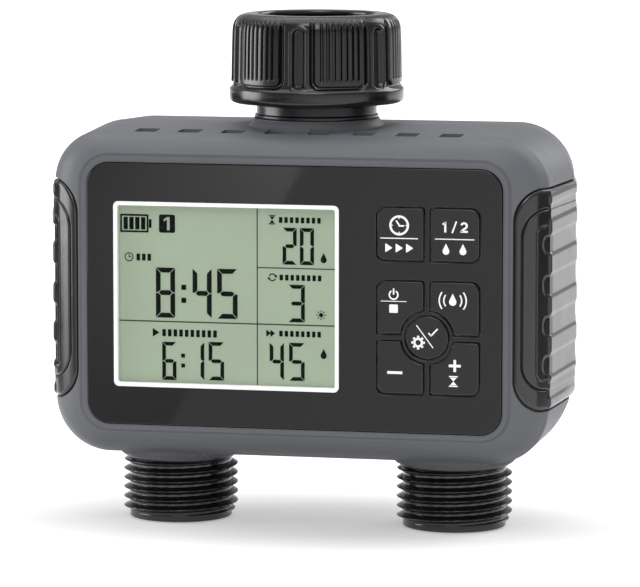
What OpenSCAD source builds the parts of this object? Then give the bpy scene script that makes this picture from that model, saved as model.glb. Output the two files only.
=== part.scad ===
// Two-outlet drip irrigation timer: a swivel hose nut on top, two threaded
// hose outlets underneath, a display and seven keys in front, cells behind.
// Frame: +X right, +Y towards the back, +Z up. The origin is on the plane
// that the two outlets stand on, midway between them. Millimetres.

/* [Hose thread] */
// Major diameter of the garden hose thread
thread_d = 26.98; // [26.9:0.02:27.1]
// Length of the thread on an outlet
thread_len = 13.1; // [12.5:0.1:13.5]
// Bore of an outlet
outlet_bore_d = 19.2; // [17:0.2:20]
// Distance between the two outlet axes
outlet_pitch = 65.7; // [64:0.1:67]

/* [Inlet nut] */
// Height of the swivel nut's lower edge
nut_z = 98.2; // [98:0.1:98.6]
// Height of the swivel nut
nut_h = 20.6; // [20:0.1:21.5]
// Radius of the nut's flange
nut_flange_r = 20.25; // [20.1:0.05:20.6]
// Number of grip panels round the nut
nut_panels = 6; // [4:1:8]
// Running clearance between nut and tailpiece, on the radius
nut_clear = 0.07; // [0.03:0.01:0.1]

/* [Housing] */
// Wall of the housing
wall = 2.2; // [2:0.1:2.4]
// Where the two shells meet, measured back from the inlet axis
part_y = 5; // [4:0.5:6]
// Depth of the top pockets
pocket_d = 1.2; // [0.5:0.1:1.4]
// How far the side grips stand proud
grip_proud = 0.3; // [0.2:0.05:0.4]

/* [Front panel] */
// Thickness of the front panel
panel_t = 1.6; // [1.4:0.1:1.7]
// Width of the white frame round the display
frame_w = 0.95; // [0.8:0.05:1.1]
// Gap round each key
key_gap = 0.3; // [0.25:0.05:0.4]
// Travel of a key
key_travel = 0.5; // [0.3:0.1:0.5]

/* [Cells] */
// Diameter of a cell
cell_d = 14.4; // [14:0.1:14.5]
// Length of a cell without its nub
cell_len = 49.2; // [48.8:0.1:49.5]

/* [Hidden] */
$fn = 64;
ox = outlet_pitch/2;
thread_r = thread_d/2;
// Housing outline: [y, half width, lowest z, highest z, upper corner radius, lower corner radius]
LV = [[-24.9, 50.1, 23.4, 87.2, 6.8, 6.8], [-23.6, 53.1, 21.0, 89.2, 8.5, 8.6], [-21.5, 55.8, 19.2, 90.9, 10.3, 10.8],
      [-18, 58.0, 17.5, 92.2, 11.9, 12.9], [4.2, 59.9, 15.3, 93.05, 13.5, 20.4], [20, 57.4, 15.9, 92.75, 13.2, 20],
      [22.5, 56.2, 17.2, 91.4, 12, 18.6], [23.5, 54.4, 19.0, 89.6, 10.5, 16.8]];
front_y = -25.2;
back_y = panel_t + front_y;      // back face of the front panel
in_y = -22.0;                    // inner face of the front wall
rear_y = 23.5;
// Display opening
lx0 = -42.25; lx1 = 10.83; lz0 = 33.7; lz1 = 76.53;
// Key field
kx0 = 19.6; kx1 = 43.4; kxm = 31.27; kch = 1.4;
uz0 = 64.25; uz1 = 76.5; kz0 = 33.8; kz1 = 59.8; kzm = 46.8;
ckx = 31.3; ckz = 46.95; ckr = 5.05; ring_r = 6.1;
// Stem centres: clock, zone, escape, manual, set, minus, plus
KC = [[24.9, 70.4], [37.6, 70.4], [24.6, 55.6], [37.9, 55.6], [ckx, ckz], [24.6, 38.2], [37.9, 38.2]];
SCREWS = [[-50.4, 34], [50.4, 34], [-50.4, 80.5], [50.4, 80.5], [-50.7, 54.5], [50.7, 54.5]];
POSTS = [[-45.2, 28], [45.2, 28], [-45.2, 82], [45.2, 82], [15.6, 82.5]];

function rrp(x0, x1, z0, z1, r, n = 6, rb = 0) = let(q = rb > 0 ? rb : r)
  [for (c = [[x1 - r, z1 - r, 0, r], [x0 + r, z1 - r, 90, r], [x0 + q, z0 + q, 180, q], [x1 - q, z0 + q, 270, q]])
    for (i = [0:n]) [c[0] + c[3]*cos(c[2] + 90*i/n), c[1] + c[3]*sin(c[2] + 90*i/n)]];
// A plate with rounded corners, lying across Y from y0 to y1
module plate(x0, x1, z0, z1, r, y0, y1, rb = 0, n = 6) {
  translate([0, y1, 0]) rotate([90, 0, 0]) linear_extrude(y1 - y0) polygon(rrp(x0, x1, z0, z1, r, n, rb));
}
module ycyl(x, z, r, y0, y1, fn = 48) { translate([x, y1, z]) rotate([90, 0, 0]) cylinder(r = r, h = y1 - y0, $fn = fn); }
module zcyl(x, y, r, z0, z1, fn = 64) { translate([x, y, z0]) cylinder(r = r, h = z1 - z0, $fn = fn); }
module xcyl(y, z, r, x0, x1, fn = 48) { translate([x0, y, z]) rotate([0, 90, 0]) cylinder(r = r, h = x1 - x0, $fn = fn); }
module box(x0, x1, y0, y1, z0, z1) { translate([x0, y0, z0]) cube([x1 - x0, y1 - y0, z1 - z0]); }
module turn(x, pts, fn = 64) { translate([x, 0, 0]) rotate_extrude($fn = fn) polygon(pts); }
module ring(x, z, r, w) { translate([x, 0, z]) rotate_extrude($fn = 64) translate([r, 0]) circle(r = w, $fn = 24); }

// The housing's outer shape moved in or out by d, its front and back by df and db
module skin(d, df, db) {
  hull() for (l = LV) {
    y = l[0] < -10 ? l[0] + df : l[0] > 15 ? l[0] - db : l[0];
    for (s = [-1, 1], k = [0, 1]) {
      r = (k == 0 ? l[5] : l[4]) + d;
      z = k == 0 ? l[2] - d + r : l[3] + d - r;
      translate([s*(l[1] + d - r), y + 0.01, z]) rotate([90, 0, 0]) cylinder(r = r, h = 0.02, $fn = 32);
    }
  }
}
// A tube with n sides swept along points; the two ends are flat
function unit(v) = v/norm(v);
function side_dir(t) = unit(cross(t, abs(t[2]) < 0.9 ? [0, 0, 1] : [1, 0, 0]));
module sweep(p, r, n = 8) {
  m = len(p);
  pts = [for (i = [0:m-1]) let(t = unit(p[min(i + 1, m - 1)] - p[max(i - 1, 0)]), a = side_dir(t), b = cross(t, a))
    for (k = [0:n-1]) p[i] + r*cos(360*k/n)*a + r*sin(360*k/n)*b];
  faces = concat([[for (k = [0:n-1]) k]], [[for (k = [n-1:-1:0]) (m - 1)*n + k]],
    [for (i = [0:m-2]) for (k = [0:n-1]) [i*n + k, (i + 1)*n + k, (i + 1)*n + (k + 1) % n, i*n + (k + 1) % n]]);
  polyhedron(points = pts, faces = faces, convexity = 4);
}
function coil_pts(x, r, z0, z1, turns) =
  [for (i = [0:turns*12]) [x + r*cos(30*i), r*sin(30*i), z0 + (z1 - z0)*i/(turns*12)]];

// ---- housing ----
module wall_shell() {
  difference() {
    union() {
      difference() { skin(0, 0, 0); skin(-wall, 2.9, wall); }
      for (s = [-1, 1]) zcyl(s*ox, 0, 13.75, 15.0, 20);
      // low cone round the inlet
      translate([0, 0, 91]) cylinder(r1 = 16.3, r2 = 14.5, h = 3.6);
      // screw posts
      for (p = SCREWS) { ycyl(p[0], p[1], 2.6, -21.5, 19); ycyl(p[0], p[1], 3.6, 17, rear_y - wall + 0.5); }
    }
    zcyl(0, 0, 13.95, 80, 96);
    for (s = [-1, 1]) zcyl(s*ox, 0, 13.0, 10, 21);
    // seats of the side grips
    for (s = [-1, 1]) grip_body(s, 0.06, 2, -1.06);
  }
}
module grip_region(s, g) {
  x0 = 51.2 - g;
  mirror([s < 0 ? 1 : 0, 0, 0]) translate([x0, 0, 0]) rotate([90, 0, 90])
    linear_extrude(12) polygon(rrp(-30, 16 + g, 30.5 - g, 80.6 + g, 4));
}
module grip_body(s, g, outer, inner) {
  difference() { intersection() { skin(outer, -outer, -outer); grip_region(s, g); } skin(inner, -inner, -inner); }
}
module front_shell() {
  color([0.42, 0.43, 0.46])
  difference() {
    union() {
      intersection() { wall_shell(); box(-70, 70, -30, part_y, 0, 100); }
      for (p = POSTS) ycyl(p[0], p[1], 2.2, in_y - 0.5, -17.5);
    }
    plate(-48.5, 48.5, 24.95, 85.38, 5.15, -30, back_y);
    plate(-44, 12.6, 31.9, 78.4, 1, -30, in_y + 0.5);
    plate(18.3, 44.7, 32.3, 78.3, 2, -30, in_y + 0.5);
    // pockets along the top edge
    difference() {
      for (i = [-3.5:1:3.5]) box(i*10.2 - 3.2, i*10.2 + 1.9, -18.45, -13.2, 92.2 - pocket_d, 96);
      zcyl(0, 0, 15.4, 80, 96);
    }
    for (p = SCREWS) ycyl(p[0], p[1], 1.2, -8, part_y + 1, 24);
    for (p = POSTS) ycyl(p[0], p[1], 0.95, -21, -17, 24);
    // gasket groove
    difference() {
      plate(-59.1, 59.1, 16.1, 92.25, 12.7, part_y - 0.8, part_y + 1, 19.6, 10);
      plate(-58.3, 58.3, 16.9, 91.45, 11.9, part_y - 2, part_y + 2, 18.8, 10);
      zcyl(0, 0, 16.5, 85, 96);
      for (s = [-1, 1]) { zcyl(s*ox, 0, 14.8, 10, 24); box(s*57.4 - 3, s*57.4 + 3, 0, 8, 28.4, 82.6); }
    }
  }
}
module housing_gasket() {
  color([0.08, 0.08, 0.08])
  difference() {
    plate(-59.05, 59.05, 16.15, 92.2, 12.65, part_y - 0.75, part_y - 0.02, 19.55, 10);
    plate(-58.35, 58.35, 16.85, 91.5, 11.95, part_y - 2, part_y + 2, 18.85, 10);
    zcyl(0, 0, 16.6, 85, 96);
    for (s = [-1, 1]) { zcyl(s*ox, 0, 14.9, 10, 24); box(s*57.4 - 3, s*57.4 + 3, 0, 8, 28.3, 82.7); }
  }
}
module rear_shell() {
  color([0.42, 0.43, 0.46])
  difference() {
    intersection() { wall_shell(); box(-70, 70, part_y, 30, 0, 100); }
    plate(-15.2, 15.2, 27, 82, 1.5, 20, 30);
    for (p = SCREWS) { ycyl(p[0], p[1], 1.6, 0, 30, 24); ycyl(p[0], p[1], 2.9, 20.6, 30, 32); }
    // latch slot under the cover
    box(-3.4, 3.4, 20, 30, 84, 86.2);
  }
}
module grip(s) {
  color([0.07, 0.07, 0.08])
  union() {
    grip_body(s, 0, grip_proud, -1);
    // raised bars across the side
    intersection() {
      difference() { skin(grip_proud + 0.45, 0, 0); skin(0, 0, 0); }
      for (b = [[32.2, 2.8], [37.9, 1.8], [45.6, 4.7], [54.6, 4.8], [64.1, 5.1], [72.5, 3.9], [78.6, 2.6]])
        translate([s*57, 0, b[0]]) cube([14, 31, b[1]], center = true);
    }
  }
}
module left_grip() { grip(-1); }
module right_grip() { grip(1); }
module case_screws() {
  color([0.62, 0.63, 0.65])
  for (p = SCREWS) difference() {
    union() { ycyl(p[0], p[1], 1.15, -7, 20.7, 24); ycyl(p[0], p[1], 2.6, 20.7, 22.4, 32); }
    for (a = [0, 90]) translate([p[0], 22.2, p[1]]) rotate([0, a, 0]) cube([2.8, 1.2, 0.6], center = true);
  }
}

// ---- front panel, display and keys ----
module quad2(sx, sz, g) {
  difference() {
    polygon(sx < 0 ? (sz > 0 ? rrp(kx0 - g, kxm - kch/2 + g, kzm + kch/2 - g, kz1 + g, 1.2)
                             : rrp(kx0 - g, kxm - kch/2 + g, kz0 - g, kzm - kch/2 + g, 1.2))
                   : (sz > 0 ? rrp(kxm + kch/2 - g, kx1 + g, kzm + kch/2 - g, kz1 + g, 1.2)
                             : rrp(kxm + kch/2 - g, kx1 + g, kz0 - g, kzm - kch/2 + g, 1.2)));
    translate([ckx, ckz]) circle(r = ring_r - g);
  }
}
module key2(i, g) {
  if (i == 0) polygon(rrp(kx0 - g, kxm - kch/2 + g, uz0 - g, uz1 + g, 1.2));
  if (i == 1) polygon(rrp(kxm + kch/2 - g, kx1 + g, uz0 - g, uz1 + g, 1.2));
  if (i == 2) quad2(-1, 1, g);
  if (i == 3) quad2(1, 1, g);
  if (i == 4) translate([ckx, ckz]) circle(r = ckr + (g > 0.2 ? 0.2 : g > 0 ? 0.15 : 0));
  if (i == 5) quad2(-1, -1, g);
  if (i == 6) quad2(1, -1, g);
}
module ext(y0, y1) { translate([0, y1, 0]) rotate([90, 0, 0]) linear_extrude(y1 - y0) children(); }
module key(i) {
  color([0.16, 0.16, 0.17])
  union() {
    ext(front_y, -23.35) key2(i, -key_gap/2);
    ext(-23.35, -22.8) key2(i, i == 4 ? -key_gap/2 : 0.45);
    ycyl(KC[i][0], KC[i][1], 1.9, -22.8, -21.9, 32);
  }
}
module key_clock() { key(0); }
module key_zone() { key(1); }
module key_escape() { key(2); }
module key_manual() { key(3); }
module key_set() { key(4); }
module key_minus() { key(5); }
module key_plus() { key(6); }
module front_panel() {
  color([0.16, 0.16, 0.17])
  difference() {
    plate(-48.45, 48.45, 25.0, 85.33, 5.1, front_y, back_y);
    plate(lx0, lx1, lz0, lz1, 1.2, -30, 0);
    for (i = [0:6]) ext(-30, 0) key2(i, key_gap/2);
  }
}
module lcd_frame() {
  color([0.95, 0.95, 0.95])
  difference() {
    plate(lx0, lx1, lz0, lz1, 1.2, front_y, back_y);
    plate(lx0 + frame_w, lx1 - frame_w, lz0 + frame_w, lz1 - frame_w, 0.5, -30, 0);
  }
}
module display_window() {
  color([0.85, 0.9, 0.88, 0.3])
  plate(lx0 + frame_w, lx1 - frame_w, lz0 + frame_w, lz1 - frame_w, 0.5, -24.75, -23.75);
}
module lcd_glass() {
  color([0.62, 0.68, 0.6])
  plate(-43.5, 12.1, 32.4, 77.9, 0.5, -23.5, -20.9);
}
module lcd_holder() {
  color([0.9, 0.9, 0.88])
  difference() {
    plate(-44.2, 12.8, 31.6, 78.6, 1, -20.8, -17.6);
    box(-41, 9.6, -22, -16, 32.6, 35.4);
    box(-38, 7, -19, -16, 38, 74);
  }
}
module contact_strip() { color([0.75, 0.4, 0.5]) box(-40.8, 9.4, -20.85, -17.55, 32.9, 35.1); }
module circuit_board() {
  color([0.05, 0.32, 0.16])
  difference() {
    plate(-47.5, 47.5, 24, 86, 4, -17.5, -15.9);
    for (p = POSTS) ycyl(p[0], p[1], 1.1, -20, -10, 24);
  }
}
module board_components() {
  color([0.1, 0.1, 0.11]) {
    box(-14, -4, -15.9, -14.5, 52, 62);
    box(4, 10, -15.9, -14.3, 52, 56);
    ycyl(8, 64, 3.1, -15.9, -9.6, 32);
    box(-15.5, -9.5, -15.9, -12.3, 74, 79);
    box(9.5, 15.5, -15.9, -12.3, 74, 79);
    ycyl(-8, 42, 2.4, -15.9, -10.4, 32);
    box(3, 12, -15.9, -13.2, 38, 42);
  }
}
module tact_switches() {
  color([0.2, 0.2, 0.21])
  for (k = KC) union() {
    box(k[0] - 3, k[0] + 3, -20.4, -17.5, k[1] - 3, k[1] + 3);
    ycyl(k[0], k[1], 1.7, -21.0, -20.4, 24);
  }
}
module key_carrier() {
  color([0.75, 0.75, 0.76])
  difference() {
    plate(17, 46, 31, 79.6, 2, in_y, in_y + 0.8);
    for (k = KC) ycyl(k[0], k[1], 1.95, -30, -20, 32);
  }
}
module board_screws() {
  color([0.7, 0.7, 0.72])
  for (p = POSTS) union() { ycyl(p[0], p[1], 0.93, -20.8, -15.88, 24); ycyl(p[0], p[1], 1.9, -15.88, -14.7, 24); }
}

// ---- water way ----
module manifold_body() {
  color([0.1, 0.1, 0.11])
  difference() {
    union() {
      zcyl(0, 0, 13.85, 86, nut_z - 0.3);
      zcyl(0, 0, 14.3, 94.75, 95.4);
      zcyl(0, 0, 6.6, 45, 86.5);
      xcyl(0, 45, 6.2, -ox, ox);
      for (s = [-1, 1]) zcyl(s*ox, 0, 14.5, 30, 53);
    }
    zcyl(0, 0, 10.34, 87, 99);
    zcyl(0, 0, 4.6, 45, 90);
    xcyl(0, 45, 4.4, -ox + 11.5, ox - 11.5);
    for (s = [-1, 1]) {
      turn(s*ox, [[6.2, 41], [12.3, 41], [12.3, 53.5], [0, 53.5], [0, 49], [6.2, 49]]);
      zcyl(s*ox, 0, 4.4, 36, 50);
      zcyl(s*ox, 0, 10.1, 29, 37);
    }
  }
}
module inlet_tailpiece() {
  color([0.12, 0.12, 0.13])
  turn(0, [[7.6, 87.2], [10.3, 87.2], [10.3, 90], [8.5, 90], [8.5, 92], [10.3, 92], [10.3, 101.5],
           [12.9, 101.5], [12.9, 103.1], [7.6, 103.1]]);
}
module tailpiece_oring() { color([0.05, 0.05, 0.05]) ring(0, 91, 9.4, 0.88); }
module inlet_washer() { color([0.12, 0.12, 0.12]) turn(0, [[7.8, 103.12], [13.2, 103.12], [13.2, 105.5], [7.8, 105.5]]); }
module filter_screen() {
  color([0.75, 0.77, 0.78])
  turn(0, [[7.0, 104.8], [7.7, 104.8], [7.7, 103.2], [7.4, 103.0], [5.8, 92], [0, 91.2], [0, 91.9], [5.2, 92.6], [6.9, 103.2]]);
}
module outlet_fitting(s) {
  color([0.04, 0.04, 0.045])
  turn(s*ox, [[outlet_bore_d/2, 0], [12.05, 0], [12.05, 1.5], [thread_r, 1.5], [thread_r, 1.5 + thread_len],
      [12.9, 1.5 + thread_len], [12.9, 20.1], [15.2, 20.1], [15.2, 22.1], [10.0, 22.1], [10.0, 28], [8.6, 28], [8.6, 30],
      [10.0, 30], [10.0, 36.8], [6.6, 36.8], [6.6, 24], [outlet_bore_d/2, 20]], 96);
}
module outlet_fitting_left() { outlet_fitting(-1); }
module outlet_fitting_right() { outlet_fitting(1); }
module outlet_orings() { color([0.05, 0.05, 0.05]) for (s = [-1, 1]) ring(s*ox, 29, 9.35, 0.7); }
module bonnet(s) {
  color([0.85, 0.85, 0.83])
  turn(s*ox, [[14.55, 51.4], [15.3, 51.4], [15.3, 59], [14.3, 60], [5.2, 60], [5.2, 61], [4.45, 61], [4.45, 58], [1.2, 58],
      [1.2, 57], [12.6, 57], [12.6, 54.45], [14.55, 54.45]]);
}
module bonnet_left() { bonnet(-1); }
module bonnet_right() { bonnet(1); }
module diaphragm(s) {
  color([0.1, 0.1, 0.1])
  turn(s*ox, [[0, 53.02], [14.4, 53.02], [14.4, 54.4], [13.0, 54.4], [13.0, 53.9], [0, 53.9]]);
}
module diaphragm_left() { diaphragm(-1); }
module diaphragm_right() { diaphragm(1); }
module valve_disc(s) { color([0.9, 0.9, 0.88]) turn(s*ox, [[0, 49.3], [6, 49.3], [6, 52], [5.2, 52.95], [0, 52.95]]); }
module valve_disc_left() { valve_disc(-1); }
module valve_disc_right() { valve_disc(1); }
module core_tube(s) {
  color([0.72, 0.73, 0.75])
  turn(s*ox, [[1.2, 58.02], [4.4, 58.02], [4.4, 86.4], [0, 86.4], [0, 77.5], [3.56, 77.5], [3.56, 59], [1.2, 59]]);
}
module core_tube_left() { core_tube(-1); }
module core_tube_right() { core_tube(1); }
module plunger(s) { color([0.6, 0.61, 0.63]) turn(s*ox, [[0, 59.3], [2.6, 59.3], [3.5, 60.2], [3.5, 72], [0, 72]]); }
module plunger_left() { plunger(-1); }
module plunger_right() { plunger(1); }
module plunger_spring(s) { color([0.78, 0.79, 0.8]) sweep(coil_pts(s*ox, 2.6, 72.4, 77.1, 5), 0.3, 6); }
module plunger_spring_left() { plunger_spring(-1); }
module plunger_spring_right() { plunger_spring(1); }
module coil_bobbins() {
  color([0.9, 0.9, 0.85])
  for (s = [-1, 1]) turn(s*ox, [[4.45, 61.05], [9.3, 61.05], [9.3, 62.2], [5.3, 62.2], [5.3, 81.8], [9.3, 81.8], [9.3, 82.95], [4.45, 82.95]]);
}
module coil_windings() { color([0.75, 0.38, 0.15]) for (s = [-1, 1]) turn(s*ox, [[5.35, 62.25], [9.0, 62.25], [9.0, 81.75], [5.35, 81.75]]); }
module coil_yokes() {
  color([0.6, 0.6, 0.62])
  for (s = [-1, 1]) difference() {
    union() {
      box(s*ox - 8, s*ox + 8, -9.6, 10.6, 60.02, 61);
      box(s*ox - 8, s*ox + 8, -9.6, 10.6, 83, 84);
      box(s*ox - 8, s*ox + 8, 9.6, 10.6, 60.5, 83.5);
    }
    zcyl(s*ox, 0, 5.25, 59, 62);
    zcyl(s*ox, 0, 4.45, 82, 85);
  }
}
module coil_nuts() {
  color([0.7, 0.7, 0.72])
  for (s = [-1, 1]) difference() { translate([s*ox, 0, 84.02]) cylinder(r = 6.4, h = 2, $fn = 6); zcyl(s*ox, 0, 4.45, 83, 87); }
}
module solenoid_leads() {
  color([0.7, 0.1, 0.1])
  for (s = [-1, 1], d = [0, 2.2])
    sweep([[s*30, -10.4, 70 + d], [s*28, -11.5, 70.5 + d], [s*24, -13, 72 + d], [s*19, -13.6, 74 + d], [s*16, -13.8, 75.2 + d]], 0.6, 8);
}

// ---- cells ----
module battery_tray() {
  color([0.2, 0.2, 0.21])
  difference() {
    box(-16.2, 16.2, 7.0, 21.25, 26, 83);
    box(-15.1, 15.1, 8.0, 22, 27.2, 81.8);
  }
}
module batteries() {
  color([0.75, 0.55, 0.2])
  for (s = [-1, 1]) union() {
    zcyl(s*7.45, 15.35, cell_d/2, s < 0 ? 30.4 : 29.4, (s < 0 ? 30.4 : 29.4) + cell_len);
    zcyl(s*7.45, 15.35, 2.7, s < 0 ? 29.4 : 60, s < 0 ? 40 : 29.4 + cell_len + 1);
  }
}
module battery_contacts() {
  color([0.8, 0.8, 0.78]) {
    box(-12, 12, 11, 19.7, 27.22, 27.6);
    zcyl(-7.45, 15.35, 2.4, 27.5, 29.35, 24);
    zcyl(7.45, 15.35, 3.2, 27.5, 29.35, 24);
    for (s = [-1, 1]) {
      box(s*7.45 - 5, s*7.45 + 5, 11, 19.7, 81.4, 81.78);
      zcyl(s*7.45, 15.35, 3, s < 0 ? 79.7 : 79.7, 81.5, 24);
    }
  }
}
module battery_leads() {
  color([0.1, 0.1, 0.1])
  for (s = [-1, 1])
    sweep([[s*12, 14, 83.7], [s*12, 8, 83.9], [s*13, 0, 84.2], [s*13, -7, 83.6], [s*13, -10.5, 81.6], [s*12.5, -11.5, 79.7]], 0.6, 8);
}
module battery_door() {
  color([0.42, 0.43, 0.46])
  difference() {
    union() {
      plate(-18.6, 18.6, 23.6, 88.4, 3.5, rear_y + 0.3, 25.2);
      plate(-14.8, 14.8, 27.4, 81.6, 1.2, 22.4, rear_y + 0.5);
    }
    plate(-13.4, 13.4, 28.8, 80.2, 1, 20, rear_y + 0.35);
    // gasket groove
    difference() {
      plate(-17.4, 17.4, 24.8, 83.4, 2.4, 23, 24.4);
      plate(-16.2, 16.2, 26.0, 82.2, 1.6, 22, 25);
    }
    plate(-4.0, 4.0, 83.7, 88.0, 0.8, 20, 26);
  }
}
module door_gasket() {
  color([0.06, 0.06, 0.06])
  difference() {
    plate(-17.3, 17.3, 24.9, 83.3, 2.3, 23.65, 24.38);
    plate(-16.3, 16.3, 25.9, 82.3, 1.5, 22, 25);
  }
}
module door_latch() {
  color([0.42, 0.43, 0.46])
  union() { plate(-3.8, 3.8, 83.9, 87.8, 0.7, rear_y + 0.4, 25.15); box(-3, 3, 21.5, 24.5, 84.5, 85.7); }
}

// ---- swivel nut ----
module inlet_nut() {
  z = nut_z; f = nut_flange_r; t = nut_z + nut_h;
  color([0.09, 0.09, 0.1])
  difference() {
    turn(0, [[10.3 + nut_clear, z], [f - 0.6, z], [f, z + 0.8], [f, z + 3.4], [19.95, z + 3.7], [19.64, z + 15],
             [19.52, z + 17.1], [19.22, z + 18.5], [18.75, z + 19.3], [18.0, t - 0.55], [16.9, t], [15.0, t], [thread_r + 0.06, t - 1.4],
             [thread_r + 0.06, 105.9], [13.9, 105.9], [13.9, z + 3], [10.3 + nut_clear, z + 3]], 96);
    for (i = [0:nut_panels-1]) rotate([0, 0, 360*i/nut_panels - 90]) {
      // plain slot
      translate([20.1, 0, z + 10.4]) cube([2.4, 3.5, 14], center = true);
      // flutes of the grip panel
      rotate([0, 0, 180/nut_panels]) for (k = [-2:2]) rotate([0, 0, k*5.6]) translate([20.02, 0, z + 4.8])
        cylinder(r = 0.62, h = 12, $fn = 24);
    }
  }
}

front_shell();
rear_shell();
front_panel();
lcd_frame();
display_window();
lcd_glass();
lcd_holder();
contact_strip();
circuit_board();
board_components();
tact_switches();
key_carrier();
board_screws();
case_screws();
housing_gasket();
left_grip();
right_grip();
manifold_body();
inlet_tailpiece();
tailpiece_oring();
inlet_washer();
filter_screen();
outlet_fitting_left();
outlet_fitting_right();
outlet_orings();
bonnet_left();
bonnet_right();
diaphragm_left();
diaphragm_right();
core_tube_left();
core_tube_right();
coil_bobbins();
coil_windings();
coil_yokes();
coil_nuts();
solenoid_leads();
battery_tray();
battery_contacts();
battery_leads();
batteries();
inlet_nut();
key_clock();
key_zone();
key_escape();
key_manual();
key_set();
key_minus();
key_plus();
plunger_left();
plunger_right();
plunger_spring_left();
plunger_spring_right();
valve_disc_left();
valve_disc_right();
battery_door();
door_gasket();
door_latch();
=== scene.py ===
import bpy, bmesh, math
import numpy as np
from mathutils import Vector, Matrix


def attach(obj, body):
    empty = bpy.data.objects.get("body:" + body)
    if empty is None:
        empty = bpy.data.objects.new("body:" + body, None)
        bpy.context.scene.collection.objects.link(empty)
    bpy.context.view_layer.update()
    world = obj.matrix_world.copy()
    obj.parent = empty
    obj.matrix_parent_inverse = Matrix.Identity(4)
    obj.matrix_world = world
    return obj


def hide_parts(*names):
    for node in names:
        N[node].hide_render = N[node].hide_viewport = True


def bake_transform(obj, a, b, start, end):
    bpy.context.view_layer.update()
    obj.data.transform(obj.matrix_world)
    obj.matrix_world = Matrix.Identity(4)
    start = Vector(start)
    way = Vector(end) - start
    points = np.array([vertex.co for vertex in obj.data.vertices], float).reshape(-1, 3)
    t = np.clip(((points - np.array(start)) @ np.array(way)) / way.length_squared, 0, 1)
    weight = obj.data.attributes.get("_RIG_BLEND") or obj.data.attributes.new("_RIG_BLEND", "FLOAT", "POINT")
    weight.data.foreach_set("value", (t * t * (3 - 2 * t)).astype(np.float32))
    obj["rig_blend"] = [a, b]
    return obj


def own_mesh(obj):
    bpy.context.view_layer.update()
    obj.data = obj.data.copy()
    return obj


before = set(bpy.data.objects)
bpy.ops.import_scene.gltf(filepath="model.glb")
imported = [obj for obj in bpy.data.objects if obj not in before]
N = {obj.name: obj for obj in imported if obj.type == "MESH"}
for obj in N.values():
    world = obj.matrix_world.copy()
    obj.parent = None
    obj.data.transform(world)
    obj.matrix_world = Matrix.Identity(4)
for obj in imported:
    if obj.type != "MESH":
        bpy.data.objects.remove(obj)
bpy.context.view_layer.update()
MM = 0.001
pi = math.pi

# ------------------------------------------------------------------ helpers
def smooth(a, b, x):
    t = np.clip((np.asarray(x, float) - a) / (b - a), 0, 1)
    return t * t * (3 - 2 * t)

def pchip(xs, ys, x):
    """monotone cubic through the points"""
    xs, ys, x = np.array(xs, float), np.array(ys, float), np.atleast_1d(np.array(x, float))
    h = np.diff(xs); d = np.diff(ys) / h
    m = np.zeros(len(xs)); m[0] = d[0]; m[-1] = d[-1]
    for i in range(1, len(xs) - 1):
        m[i] = 0 if d[i - 1] * d[i] <= 0 else (h[i - 1] + h[i]) * 3 / ((2 * h[i] + h[i - 1]) / d[i - 1] + (h[i] + 2 * h[i - 1]) / d[i])
    i = np.clip(np.searchsorted(xs, x) - 1, 0, len(h) - 1)
    t = (x - xs[i]) / h[i]
    return ((2 * t**3 - 3 * t**2 + 1) * ys[i] + (t**3 - 2 * t**2 + t) * h[i] * m[i] + (-2 * t**3 + 3 * t**2) * ys[i + 1] + (t**3 - t**2) * h[i] * m[i + 1])

def finish_mesh(me, angle=35.0):
    me.validate()
    me.polygons.foreach_set("use_smooth", [True] * len(me.polygons))
    me.set_sharp_from_angle(angle=math.radians(angle))
    me.update()

def add(name, verts, faces, mat, body="housing", slot=None, replaces=(), angle=35.0, mm=True, recalc=False):
    me = bpy.data.meshes.new(name)
    v = np.asarray(verts, float) * (MM if mm else 1)
    me.from_pydata(v.tolist(), [], [tuple(int(i) for i in f) for f in faces])
    if recalc:
        bm = bmesh.new(); bm.from_mesh(me)
        bmesh.ops.recalc_face_normals(bm, faces=bm.faces)
        bm.to_mesh(me); bm.free()
    finish_mesh(me, angle)
    ob = bpy.data.objects.new(name, me)
    bpy.context.scene.collection.objects.link(ob)
    if mat is not None:
        me.materials.append(mat)
    register(ob, body, replaces)
    return ob

def register(ob, body, replaces=()):
    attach(ob, body)
    if replaces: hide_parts(*replaces)

def grid_faces(nu, nv, wrap_u=True, wrap_v=False):
    """faces of a grid with index v*nu+u"""
    U = np.arange(nu if wrap_u else nu - 1); V = np.arange(nv if wrap_v else nv - 1)
    u, v = np.meshgrid(U, V)
    u, v = u.ravel(), v.ravel()
    u1, v1 = (u + 1) % nu, (v + 1) % nv
    return np.stack([v * nu + u, v * nu + u1, v1 * nu + u1, v1 * nu + u], 1)

def lathe(name, prof, mat, x=0.0, n=128, closed=True, **kw):
    """prof: list of (r, z) in mm; closed ring profile, or open from axis to axis"""
    prof = np.array(prof, float)
    th = np.arange(n) * 2 * pi / n
    V = np.zeros((len(prof), n, 3))
    V[:, :, 0] = x + prof[:, 0:1] * np.cos(th); V[:, :, 1] = prof[:, 0:1] * np.sin(th); V[:, :, 2] = prof[:, 1:2]
    F = grid_faces(n, len(prof), True, closed)
    return add(name, V.reshape(-1, 3), F, mat, recalc=True, **kw)

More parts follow.
